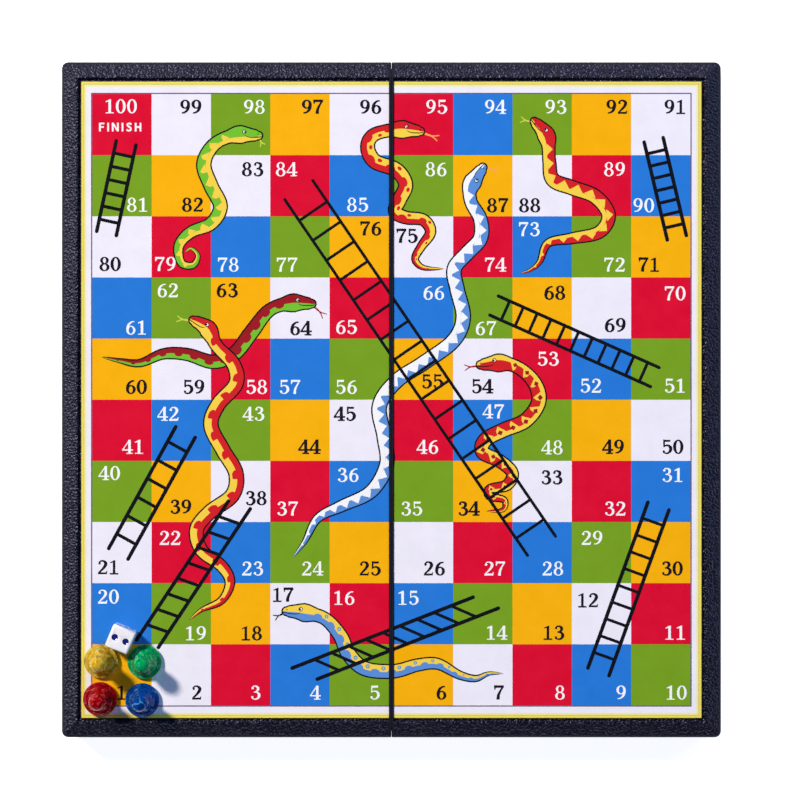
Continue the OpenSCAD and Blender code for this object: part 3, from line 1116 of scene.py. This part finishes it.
@dataclass
class PlaySheet:
    """The two printed sheets: a hundred numbered squares with their ladders and snakes.

    A number's spot is the middle of the number in its square, from the top left corner.
    """

    columns: int = 10
    rows: int = 10
    side_margin: float = 4.3 * MM
    end_margin: float = 4.85 * MM
    border: float = 2.1 * MM
    # Width of the dark strip of painted shade at the sheet's edge.
    cut_edge: float = 0.26 * MM
    hairline_inset: float = 1.16 * MM
    hairline: float = 0.16 * MM
    rule: float = 0.45 * MM
    rotation: tuple[Ink, ...] = (Ink.RED, Ink.BLUE, Ink.GREEN, Ink.ORANGE, Ink.WHITE)
    odd_square: Point = (1, 0)
    bold: float = 0.042
    spots: tuple[Point, ...] = tuple(trace("""
        .48,.2 .66,.21 .73,.21 .71,.21 .69,.21 .72,.21 .71,.21 .73,.21 .76,.21 .74,.21
        .76,.81 .69,.81 .7,.23 .27,.23 .47,.81 .71,.23 .75,.82 .29,.82 .72,.23 .21,.82
        .3,.78 .23,.78 .29,.79 .28,.79 .69,.2 .22,.32 .71,.79 .28,.21 .72,.79 .3,.79
        .74,.82 .27,.21 .27,.21 .51,.83 .28,.81 .67,.25 .55,.83 .71,.25 .73,.78 .74,.26
        .74,.79 .71,.79 .77,.79 .33,.79 .28,.79 .65,.7 .49,.78 .6,.33 .32,.77 .74,.77
        .69,.77 .28,.23 .72,.23 .66,.77 .26,.23 .57,.77 .68,.19 .67,.78 .7,.77 .7,.77
        .29,.2 .49,.75 .76,.61 .29,.78 .31,.23 .3,.78 .26,.78 .66,.27 .73,.78 .7,.23
        .27,.74 .31,.26 .7,.76 .71,.76 .68,.76 .68,.76 .7,.76 .68,.76 .34,.26 .69,.76
        .27,.22 .74,.82 .68,.82 .21,.19 .24,.24 .24,.24 .73,.81 .69,.81 .27,.28 .74,.81
        .49,.79 .76,.79 .75,.79 .76,.79 .76,.79 .8,.79 .77,.79 .8,.79 .83,.79 .76,.79"""))

    def __post_init__(self) -> None:
        """Takes the sheets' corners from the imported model."""
        self.low, self.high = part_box("right_print")
        self.pitch_x = (self.high[0] - self.side_margin - self.low[0]) / (self.columns / 2)
        self.grid_y = self.high[1] - self.end_margin
        self.pitch_y = 2 * self.grid_y / self.rows

    def place(self, spot: Point) -> Point:
        """Moves a point from squares to metres.

        Args:
            spot: The point, in squares from the top left corner.

        Returns:
            The point on the sheets.
        """
        column = spot[0] - self.columns / 2
        side = self.low[0] if column >= 0 else -self.low[0]
        return side + column * self.pitch_x, self.grid_y - spot[1] * self.pitch_y

    def ink_of(self, column: int, row: int) -> Ink:
        """The ink of a square. The odd one out is white."""
        turn = self.rotation[(column + 2 * row) % len(self.rotation)]
        return Ink.WHITE if (column, row) == self.odd_square else turn

    def ground(self, sheet: Stencil, side: int) -> None:
        """Lays the borders, the white margin and the rule round the squares of one half, over a
        dark ground that shows only as a strip of painted shade along the sheet's edge.

        Args:
            sheet: The half's stencil.
            side: 1 for the right half, -1 for the left.
        """
        inner, outer, end = side * self.low[0], self.high[0], self.high[1]
        for level, ink, side_inset, end_inset in (
                (0.0, Ink.UMBER, 0.0, 0.0), (0.02, Ink.BORDER, self.cut_edge, self.cut_edge),
                (0.05, Ink.OLIVE, self.hairline_inset, self.hairline_inset),
                (0.1, Ink.BUTTER, *[self.hairline_inset + self.hairline] * 2),
                (0.15, Ink.WHITE, self.border, self.border),
                (0.2, Ink.RULE, self.side_margin - self.rule, self.end_margin - self.rule)):
            x, y = side * (outer - side_inset), end - end_inset
            sheet.polygon(level, ink, [(inner, -y), (x, -y), (x, y), (inner, y)])

    def squares(self, side: int) -> bpy.types.Mesh:
        """Makes one half's squares by Geometry Nodes, inked by column and row.

        Args:
            side: 1 for the right half, -1 for the left.

        Returns:
            A flat mesh of squares, centred on the half's grid.
        """
        tree = GeometryTree("ruled_squares")
        width, depth, columns, rows, first, *inks = tree.sizes(
            width=self.pitch_x, depth=self.pitch_y, columns=self.columns // 2, rows=self.rows,
            first=0, **{ink.name: None for ink in self.rotation})
        plate = tree.put("GeometryNodeMeshGrid", {
            "Size X": tree.math("MULTIPLY", width, columns),
            "Size Y": tree.math("MULTIPLY", depth, rows),
            "Vertices X": tree.math("ADD", columns, 1.0),
            "Vertices Y": tree.math("ADD", rows, 1.0)})
        spot = tree.node("ShaderNodeSeparateXYZ",
                         {0: tree.put("GeometryNodeInputPosition")}).outputs
        column = tree.math("FLOOR", tree.math("ADD", tree.math("DIVIDE", spot["X"], width),
                                              tree.math("DIVIDE", columns, 2.0)))
        row = tree.math("FLOOR", tree.math("SUBTRACT", tree.math("DIVIDE", rows, 2.0),
                                           tree.math("DIVIDE", spot["Y"], depth)))
        index = tree.math("ADD", tree.math("ADD", column, first), tree.math("MULTIPLY", row, 2.0))
        turn = tree.math("MODULO", index, float(len(self.rotation)))
        for k, ink in enumerate(inks):
            here = tree.put("FunctionNodeCompare", {"A": turn, "B": float(k), "Epsilon": 0.2},
                            operation="EQUAL")
            plate = tree.put("GeometryNodeSetMaterial",
                             {"Geometry": plate, "Selection": here, "Material": ink})
        tree.close(plate)
        return tree.mesh(None, first=self.columns // 2 if side > 0 else 0,
                         **{ink.name: ink.material() for ink in self.rotation})

    def numbers(self, sheet: Stencil) -> None:
        """Numbers every square, back and forth from the bottom row, and names the last one.

        Args:
            sheet: The stencil that takes the ink.
        """
        pale, dark = Figures(), Figures(bold=self.bold)
        for k, (x, y) in enumerate(self.spots):
            row, column = divmod(k, self.columns)
            top = (self.rows - row) * self.columns
            value = top - column if row % 2 == 0 else top - self.columns + 1 + column
            deep = self.ink_of(column, row) in (Ink.RED, Ink.BLUE, Ink.GREEN)
            figures, ink = (pale, Ink.MILK) if deep else (dark, Ink.NUMBER)
            figures.number(sheet, ink, value, self.place((column + x, row + y)))
        PlainCapitals().word(sheet, Ink.MILK, "FINISH", self.place((0.47, 0.54)))

    def ladders(self) -> list[Ladder]:
        """Lists the ladders.

        Returns:
            The eight ladders, by the squares they join.
        """
        return [
            Ladder((0.57, 0.8), (0.24, 2.28), 7.45 * MM, 6, overhang=4.6 * MM),
            Ladder((9.38, 0.75), (9.77, 2.35), 7.25 * MM, 7, overhang=4.5 * MM),
            Ladder((3.48, 1.57), (7.49, 7.39), 12.55 * MM, 17, 1.15 * MM, 1.1 * MM, 8.55 * MM,
                   shift=-0.95 * MM),
            Ladder((9.4, 4.63), (6.69, 3.46), 7.75 * MM, 11, 1.25 * MM, 1.15 * MM, 4.6 * MM),
            Ladder((1.57, 5.53), (0.44, 7.52), 8.2 * MM, 6),
            Ladder((2.48, 6.72), (0.93, 8.99), 8.3 * MM, 8, slant=2.1 * MM, overhang=6.8 * MM),
            Ladder((9.46, 6.74), (8.45, 9.45), 8.3 * MM, 9, rung=1.15 * MM),
            Ladder((6.55, 8.32), (3.58, 9.48), 7.2 * MM, 9, rung=1.15 * MM, slant=7.2 * MM,
                   overhang=8.8 * MM)]

    def snakes(self) -> list[Snake]:
        """Lists the snakes.

        Returns:
            The eight snakes, by the squares they join, each from its head to its tail.
        """
        return [
            Snake(trace("2.8,.68 2.42,.67 2.06,.82 1.88,1.14 2,1.5 2.16,1.84 2,2.12 1.66,2.26 "
                        "1.46,2.48 1.5,2.76 1.7,2.8 1.78,2.64 1.66,2.52 1.56,2.6"),
                  Ink.SUN, Ink.LIME,
                  [MarkRow(Mark.TOOTH, Ink.SUN, -0.05, 0.7, 4.8 * MM, 13 * MM, 14 * MM, 1.66, -1)],
                  -0.3, False, Ink.MOSS, 60, 3.8),
            Snake(trace("5.45,.61 5.08,.58 4.76,.66 4.64,.86 4.76,1.1 5.04,1.24 5.2,1.48 5.1,1.72 "
                        "5.02,1.92 5.2,2.02 5.5,2.06 5.62,2.26 5.46,2.5 5.36,2.7 5.5,2.84 "
                        "5.84,2.86"),
                  Ink.SUN, Ink.SCARLET,
                  [MarkRow(Mark.SPOT, Ink.SCARLET, -0.14, 0.5, 7 * MM, stretch=1.6),
                   MarkRow(Mark.SPOT, Ink.SCARLET, 0.5, 0.27, 7 * MM, 15.5 * MM, 12 * MM, 1.4)],
                  0.1, False, Ink.AMBER, 12, 7),
            Snake(trace("6.5,1.2 6.3,1.5 6.3,1.76 6.46,2.05 6.46,2.36 6.24,2.6 6.02,2.86 6.07,3.2 "
                        "6.17,3.66 6,4.04 5.5,4.4 5.04,4.7 4.84,5.1 4.92,5.6 4.96,6.06 4.7,6.5 "
                        "4.2,6.74 3.8,6.94 3.58,7.32 3.38,7.58"),
                  Ink.SKY, Ink.MILK,
                  [MarkRow(Mark.TOOTH, Ink.MILK, 0.05, 0.7, 4.4 * MM, stretch=1.52)],
                  0.3, True, Ink.AMBER, -65),
            Snake(trace("7.37,.45 7.58,.7 7.62,1.1 7.68,1.4 8,1.53 8.4,1.68 8.62,1.98 8.46,2.26 "
                        "8,2.36 7.6,2.44 7.46,2.74 7.3,2.88 7.14,2.93"),
                  Ink.SCARLET, Ink.SUN,
                  [MarkRow(Mark.TOOTH, Ink.SUN, 0.05, 0.7, 4.8 * MM, stretch=1.66)],
                  0.3, True, Ink.MOSS, 35, 5),
            Snake(trace("3.7,3.43 3.34,3.42 2.98,3.54 2.68,3.9 2.4,4.24 2.04,4.38 1.6,4.26 "
                        "1.2,4.25 .8,4.4 .46,4.36 .16,4.3"),
                  Ink.LIME, Ink.CRIMSON,
                  [MarkRow(Mark.SPOT, Ink.CRIMSON, 0.05, 0.54, 5.4 * MM, stretch=1.5)],
                  0.0, False, Ink.CRIMSON, 38, 6.5),
            Snake(trace("1.7,3.7 1.94,3.84 2.1,4.12 2.38,4.42 2.42,4.74 2.12,5.08 2,5.42 2.2,5.82 "
                        "2.42,6.2 2.36,6.56 1.98,6.84 1.76,7.12 1.84,7.46 2.18,7.72 2.32,7.98 "
                        "2.18,8.28 1.84,8.44 1.64,8.6"),
                  Ink.SCARLET, Ink.SUN,
                  [MarkRow(Mark.SPOT, Ink.SCARLET, -0.02, 0.64, 7.6 * MM, stretch=1.5)],
                  -0.1, True, Ink.MOSS, 20),
            Snake(trace("6.46,4.43 6.84,4.4 7.14,4.5 7.38,4.74 7.44,5.04 7.22,5.34 6.84,5.5 "
                        "6.54,5.66 6.5,5.86 6.78,6 7,6.2 6.9,6.4 6.62,6.46 6.62,6.58 6.86,6.64 "
                        "6.84,6.8 6.56,6.82"),
                  Ink.SUN, Ink.SCARLET,
                  [MarkRow(Mark.TOOTH, Ink.SUN, -0.05, 0.85, 4.8 * MM, 13 * MM, 9 * MM, 1.37, -1),
                   MarkRow(Mark.DIAMOND, Ink.CRIMSON, 0.18, 0.42, 4.8 * MM, 13 * MM, 9 * MM, 1.1)],
                  -0.35, True, Ink.CRIMSON),
            Snake(trace("3.27,8.46 3.56,8.48 3.92,8.58 4.18,8.86 4.32,9.16 4.6,9.4 5,9.44 "
                        "5.4,9.34 5.74,9.32 6.1,9.5 6.38,9.56 6.6,9.48 6.84,9.48"),
                  Ink.SUN, Ink.SKY,
                  [MarkRow(Mark.SPOT, Ink.SKY, -0.16, 0.5, 5.6 * MM, stretch=1.5),
                   MarkRow(Mark.SPOT, Ink.SKY, 0.48, 0.34, 5.6 * MM, 14.8 * MM, 9 * MM),
                   MarkRow(Mark.SPOT, Ink.MOSS, 0.48, 0.16, 5.6 * MM, 14.8 * MM, 9 * MM)],
                  0.1, True, Ink.LINE, 28, 5)]

    def build(self) -> None:
        """Prints and cuts both sheets."""
        art = Stencil()
        ladder_tree, snake_tree, mark_tree = Ladder.tree(), Snake.tree(), MarkRow.tree()
        for ladder in self.ladders():
            ladder.draw(art, ladder_tree, self.place)
        for order, snake in enumerate(self.snakes()):
            snake.level += order
            snake.draw(art, snake_tree, mark_tree, self.place)
        self.numbers(art)
        for name, side in (("left", -1), ("right", 1)):
            half = Stencil()
            self.ground(half, side)
            middle = (side * (self.low[0] + self.high[0] - self.side_margin) / 2, 0, 0)
            half.mesh(1.0, self.squares(side), Matrix.Translation(middle))
            if side < 0:
                x, y = self.odd_square
                corners = ((x, y), (x + 1, y), (x + 1, y + 1), (x, y + 1))
                half.polygon(1.5, Ink.WHITE, [self.place(p) for p in corners])
            half.shapes += [s for s in art.shapes
                            if any(self.low[0] < side * x < self.high[0] for x, _ in s[2])]
            sheet = self.cut(f"{name}_printed_sheet", half)
            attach(sheet, f"{name}_half")
            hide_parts(f"{name}_print")
            log.info("%s: %d shapes, %d faces", sheet.name, len(half.shapes),
                     len(sheet.data.polygons))

    @staticmethod
    def buckets(shapes: Sequence[tuple[float, Ink, list[Point]]],
                size: float) -> dict[tuple[int, int], list[tuple]]:
        """Sorts shapes into square buckets of the sheet.

        Args:
            shapes: The shapes, lowest first.
            size: A bucket's side.

        Returns:
            For each bucket, the boxes and numbers of the shapes that may reach into it, highest
            first.
        """
        found: dict[tuple[int, int], list[tuple]] = {}
        for k in range(len(shapes) - 1, -1, -1):
            xs, ys = zip(*shapes[k][2])
            box = (min(xs), max(xs), min(ys), max(ys), k)
            for i in range(math.floor(box[0] / size), math.floor(box[1] / size) + 1):
                for j in range(math.floor(box[2] / size), math.floor(box[3] / size) + 1):
                    found.setdefault((i, j), []).append(box)
        return found

    @staticmethod
    def covers(outline: Sequence[Point], spot: Vector) -> bool:
        """Counts the sides that a ray from a spot crosses.

        Args:
            outline: The outline.
            spot: The spot.

        Returns:
            Whether the spot lies inside the outline.
        """
        inside = False
        for (ax, ay), (bx, by) in zip(outline, [*outline[1:], outline[0]]):
            if (ay > spot.y) != (by > spot.y) and \
                    spot.x < ax + (bx - ax) * (spot.y - ay) / (by - ay):
                inside = not inside
        return inside

    def cut(self, name: str, half: Stencil) -> bpy.types.Object:
        """Cuts one half's shapes into a single layer of ink on a sheet with thickness.

        Args:
            name: The sheet's name.
            half: The half's shapes. The lowest one is the sheet itself.

        Returns:
            The sheet, closed at its sides and underneath.
        """
        shapes = sorted(half.shapes, key=lambda s: s[0])
        corners: list[Vector] = []
        faces: list[list[int]] = []
        for _, _, points in shapes:
            faces.append(list(range(len(corners), len(corners) + len(points))))
            corners += [Vector((x / MM, y / MM)) for x, y in points]
        spots, _, cells, *_ = delaunay_2d_cdt(corners, [], faces, 1, 1e-5)
        inks = list(Ink)
        bucket = 2 * MM
        nearby = self.buckets(shapes, bucket)
        mesh = bmesh.new()
        verts = [mesh.verts.new((p.x * MM, p.y * MM, self.high[2])) for p in spots]
        for cell in cells:
            middle = sum((spots[v] for v in cell), Vector((0, 0))) * (MM / len(cell))
            if not self.covers(shapes[0][2], middle):
                continue
            boxes = nearby[math.floor(middle.x / bucket), math.floor(middle.y / bucket)]
            upper = next(k for x0, x1, y0, y1, k in boxes if x0 <= middle.x <= x1
                         and y0 <= middle.y <= y1 and self.covers(shapes[k][2], middle))
            mesh.faces.new([verts[v] for v in cell]).material_index = inks.index(shapes[upper][1])
        loose = [v for v in mesh.verts if not v.link_faces]
        bmesh.ops.delete(mesh, geom=loose, context="VERTS")
        rim = [e for e in mesh.edges if e.is_boundary]
        walls = bmesh.ops.extrude_edge_only(mesh, edges=rim)["geom"]
        for vert in (g for g in walls if isinstance(g, bmesh.types.BMVert)):
            vert.co.z = self.low[2]
        bottom = [g for g in walls if isinstance(g, bmesh.types.BMEdge)]
        bmesh.ops.contextual_create(mesh, geom=bottom)
        for face in mesh.faces:
            if face.calc_center_median().z < self.high[2] - 0.001 * MM:
                face.material_index = inks.index(Ink.WHITE)
        bmesh.ops.recalc_face_normals(mesh, faces=mesh.faces)
        return finished_object(name, plain_mesh(name, mesh, [ink.material() for ink in inks]))


# Pawns and die


@dataclass
class Pawn:
    """A tinted clear pawn, turned round its axis, with the pocket for its magnet open below.

    The outline gives radii and heights from the foot to the neck as shares of the pawn's own.
    """

    name: str
    plastic: TintedPlastic
    sides: int = 96
    outline: tuple[Point, ...] = tuple(trace(
        ".93,0 .985,.01 1,.03 1,.085 .99,.1 .97,.108 .945,.106 .93,.118 .905,.128 .875,.126 "
        ".86,.14 .83,.152 .8,.15 .785,.168 .765,.19 .74,.215 .67,.27 .555,.35 .45,.43 .37,.51 "
        ".325,.58 .33,.6 .42,.61 .465,.625 .465,.65 .42,.665 .33,.672"))
    head_share: float = 0.5
    head_steps: int = 16
    magnet_play: float = 0.1 * MM

    def profile(self) -> list[Point]:
        """Works out the pawn's outline.

        Returns:
            Its radii and heights, from the pocket's roof round the foot to the top.
        """
        low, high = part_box(f"{self.name}_pawn")
        magnet_low, magnet_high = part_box(f"{self.name}_magnet")
        radius, height = (high[0] - low[0]) / 2, high[2] - low[2]
        head = radius * self.head_share
        centre = high[2] - head
        pocket = (magnet_high[0] - magnet_low[0]) / 2 + self.magnet_play
        roof = magnet_high[2] + self.magnet_play
        body = [(r * radius, low[2] + z * height) for r, z in self.outline]
        start = math.asin(min(1.0, (centre - body[-1][1]) / head))
        turns = [-start + (math.pi / 2 + start) * k / self.head_steps
                 for k in range(1, self.head_steps + 1)]
        ball = [(head * math.cos(t), centre + head * math.sin(t)) for t in turns]
        log.info("%s_pawn_body: %.1f mm across, %.1f mm high", self.name, 2 * radius / MM,
                 height / MM)
        return [(0.0, roof), (pocket, roof), (pocket, low[2]), *body, *ball]

    def build(self) -> None:
        """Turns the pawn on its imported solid's axis and dresses it."""
        low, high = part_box(f"{self.name}_pawn")
        middle = ((low[0] + high[0]) / 2, (low[1] + high[1]) / 2)
        mesh = bmesh.new()
        rings = []
        for r, z in self.profile():
            round_points = [middle] if r < TOUCHING else oval(middle, (r, r), self.sides)
            rings.append([mesh.verts.new((x, y, z)) for x, y in round_points])
        for a, b in zip(rings, rings[1:]):
            for k in range(self.sides):
                n = (k + 1) % self.sides
                corners = [a[k % len(a)], a[n % len(a)], b[n % len(b)], b[k % len(b)]]
                mesh.faces.new(list(dict.fromkeys(corners)))
        bmesh.ops.remove_doubles(mesh, verts=mesh.verts, dist=TOUCHING)
        bmesh.ops.recalc_face_normals(mesh, faces=mesh.faces)
        data = plain_mesh(f"{self.name}_pawn_body", mesh, [self.plastic.material()])
        data.shade_smooth()
        data.set_sharp_from_angle(angle=SHARP_ANGLE)
        piece = finished_object(f"{self.name}_pawn_body", data)
        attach(piece, f"{self.name}_piece")
        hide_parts(f"{self.name}_pawn")


@dataclass
class Die:
    """The white die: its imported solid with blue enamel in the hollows.

    Hollows reach out from a face's middle to a share of half the edge.
    """

    white: Finish = polished_plastic("die_white_plastic", linear(248, 246, 252), 0.16)
    blue: Finish = polished_plastic("die_blue_enamel", linear(20, 28, 118), 0.08)
    edge: float = 9 * MM
    turn: float = 23.0
    hollow_reach: float = 0.76
    skin: float = 0.004 * MM

    def build(self) -> None:
        """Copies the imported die, finds its hollows and enamels them."""
        low, high = (Vector(v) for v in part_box("die"))
        middle = (low + high) / 2
        mesh = bmesh.new()
        mesh.from_mesh(frame["nodes"]["die"].data)
        bmesh.ops.remove_doubles(mesh, verts=mesh.verts, dist=TOUCHING)
        square = Matrix.Rotation(math.radians(self.turn), 3, "Z")
        half = self.edge / 2
        for face in mesh.faces:
            spot = [abs(v) for v in square @ (face.calc_center_median() - middle)]
            out = max(spot)
            across = sorted(spot)[1]
            sunk = out < half - self.skin and across < half * self.hollow_reach
            face.material_index = 1 if sunk else 0
            face.smooth = sunk or abs(out - half) > self.skin
        data = plain_mesh("white_die", mesh, [self.white.material(), self.blue.material()])
        data.set_sharp_from_angle(angle=SHARP_ANGLE)
        piece = finished_object("white_die", data)
        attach(piece, "die_piece")
        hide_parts("die")
        log.info("white_die: %.1f mm high, %d faces", (high.z - low.z) / MM, len(data.polygons))


@dataclass
class PackedParts:
    """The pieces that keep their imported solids, each with its finish."""

    finishes: dict[str, Finish | GrainedPlastic] = field(default_factory=lambda: {
        "right_tray": GrainedPlastic(), "left_tray": GrainedPlastic(),
        "right_steel": ROLLED_STEEL, "left_steel": ROLLED_STEEL,
        "hinge_pin_front": SHADE_DARK_STEEL, "hinge_pin_rear": SHADE_DARK_STEEL,
        **{f"{colour}_magnet": PRESSED_FERRITE for colour in PAWNS},
        **{f"{colour}_pad": BLACK_CARD for colour in PAWNS}})

    def dress(self) -> None:
        """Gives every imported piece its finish, one material for all pieces of a kind."""
        for node, finish in self.finishes.items():
            piece = frame["nodes"][node]
            material = bpy.data.materials.get(finish.name) or finish.material()
            piece.data.materials.clear()
            piece.data.materials.append(material)
            log.info("%s: %s", node, material.name)


# Studio


@dataclass(frozen=True)
class Lamp:
    """A round soft lamp aimed at the board's middle."""

    name: str
    place: Place
    width: float
    watts: float
    colour: Place

    def hang(self) -> None:
        """Hangs the lamp in its place."""
        data = bpy.data.lights.new(self.name, "AREA")
        data.shape = "DISK"
        data.size = self.width
        data.energy = self.watts
        data.color = self.colour
        lamp = bpy.data.objects.new(self.name, data)
        lamp.location = self.place
        lamp.rotation_euler = (-Vector(self.place)).to_track_quat("-Z", "Y").to_euler()
        bpy.context.scene.collection.objects.link(lamp)


@dataclass
class Studio:
    """Camera straight above, a warm lamp at the upper left, a bluish one right, a white floor."""

    camera_height: float = 1.0
    near_clip: float = 0.01
    view_width: float = 296.5 * MM
    view_centre: Point = (3.2 * MM, -0.1 * MM)
    sensor: float = 36.0
    lamps: tuple[Lamp, ...] = (
        Lamp("key_lamp", (-2.284, 1.978, 2.918), 0.54, 204.0, (1.0, 0.922, 0.795)),
        Lamp("soft_lamp", (1.045, 0.855, 0.95), 0.95, 8.4, (0.503, 0.657, 1.0)))
    sky_colour: Colour = (0.369, 0.567, 1.0, 1.0)
    sky_strength: float = 0.2
    wall_height: float = 0.04
    white: Colour = (1.0, 1.0, 1.0, 1.0)
    floor_colour: Colour = (0.95, 0.95, 0.96, 1.0)
    floor_glow: float = 0.88
    floor_half: float = 3.0

    def camera(self) -> None:
        """Hangs the camera over the board, looking straight down."""
        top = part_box("right_print")[1][2]
        data = bpy.data.cameras.new("camera")
        data.sensor_width = self.sensor
        data.lens = self.sensor * self.camera_height / self.view_width
        data.clip_start = self.near_clip
        camera = bpy.data.objects.new("camera", data)
        camera.location = (*self.view_centre, top + self.camera_height)
        bpy.context.scene.collection.objects.link(camera)
        bpy.context.scene.camera = camera

    def sky(self) -> None:
        """A pale sky for fill, and white where the camera, mirrors and glass see the horizon."""
        world = bpy.data.worlds.new("studio")
        world.use_nodes = True
        nodes = NodeTree(world.node_tree)
        nodes.tree.nodes.clear()
        fill = nodes.put("ShaderNodeBackground", {"Color": self.sky_colour,
                                                  "Strength": self.sky_strength})
        white = nodes.put("ShaderNodeBackground", {"Color": self.white})
        way = nodes.node("ShaderNodeSeparateXYZ",
                         {0: nodes.node("ShaderNodeTexCoord").outputs["Generated"]}).outputs["Z"]
        seen = nodes.background_rays(nodes.math("LESS_THAN", way, self.wall_height))
        mix = nodes.put("ShaderNodeMixShader", {0: seen, 1: fill, 2: white})
        nodes.node("ShaderNodeOutputWorld", {0: mix})
        bpy.context.scene.world = world

    def floor(self) -> None:
        """Lays the white floor that the board stands on. It glows only for rays that see it."""
        mesh = bmesh.new()
        bmesh.ops.create_grid(mesh, x_segments=1, y_segments=1, size=self.floor_half)
        shader = Shader("white_floor", Base_Color=self.floor_colour, Roughness=0.9,
                        Specular_IOR_Level=0.1)
        glow = shader.put("ShaderNodeEmission", {"Color": self.white, "Strength": self.floor_glow})
        none = shader.put("ShaderNodeEmission", {"Strength": 0.0})
        gate = shader.put("ShaderNodeMixShader", {0: shader.background_rays(1.0), 1: none, 2: glow})
        both = shader.put("ShaderNodeAddShader", {0: shader.surface.outputs[0], 1: gate})
        out = next(n for n in shader.tree.nodes if n.type == "OUTPUT_MATERIAL")
        shader.tree.links.new(both, out.inputs["Surface"])
        finished_object("floor", plain_mesh("floor", mesh, [shader.material]))

    def build(self) -> None:
        """Sets up the view, the light and the floor."""
        self.camera()
        for lamp in self.lamps:
            lamp.hang()
        self.sky()
        self.floor()
        bpy.context.scene.view_settings.view_transform = "Standard"


def main() -> None:
    """Builds the scene in order."""
    logging.basicConfig(level=logging.INFO, format="%(message)s")
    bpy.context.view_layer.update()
    Studio().build()
    PackedParts().dress()
    PlaySheet().build()
    # Each pawn's tint, the pale tint of its painted glints, and how clear it is.
    tints = (((255, 210, 58), (255, 246, 156), 0.42), ((6, 212, 124), (120, 240, 186), 0.5),
             ((216, 8, 30), (250, 96, 104), 0.57), ((0, 94, 202), (104, 190, 252), 0.57))
    for name, (colour, cloud, clear) in zip(PAWNS, tints):
        plastic = TintedPlastic(f"{name}_clear_plastic", linear(*colour), linear(*cloud), clear)
        Pawn(name, plastic).build()
    Die().build()


if __name__ == "__main__":
    main()
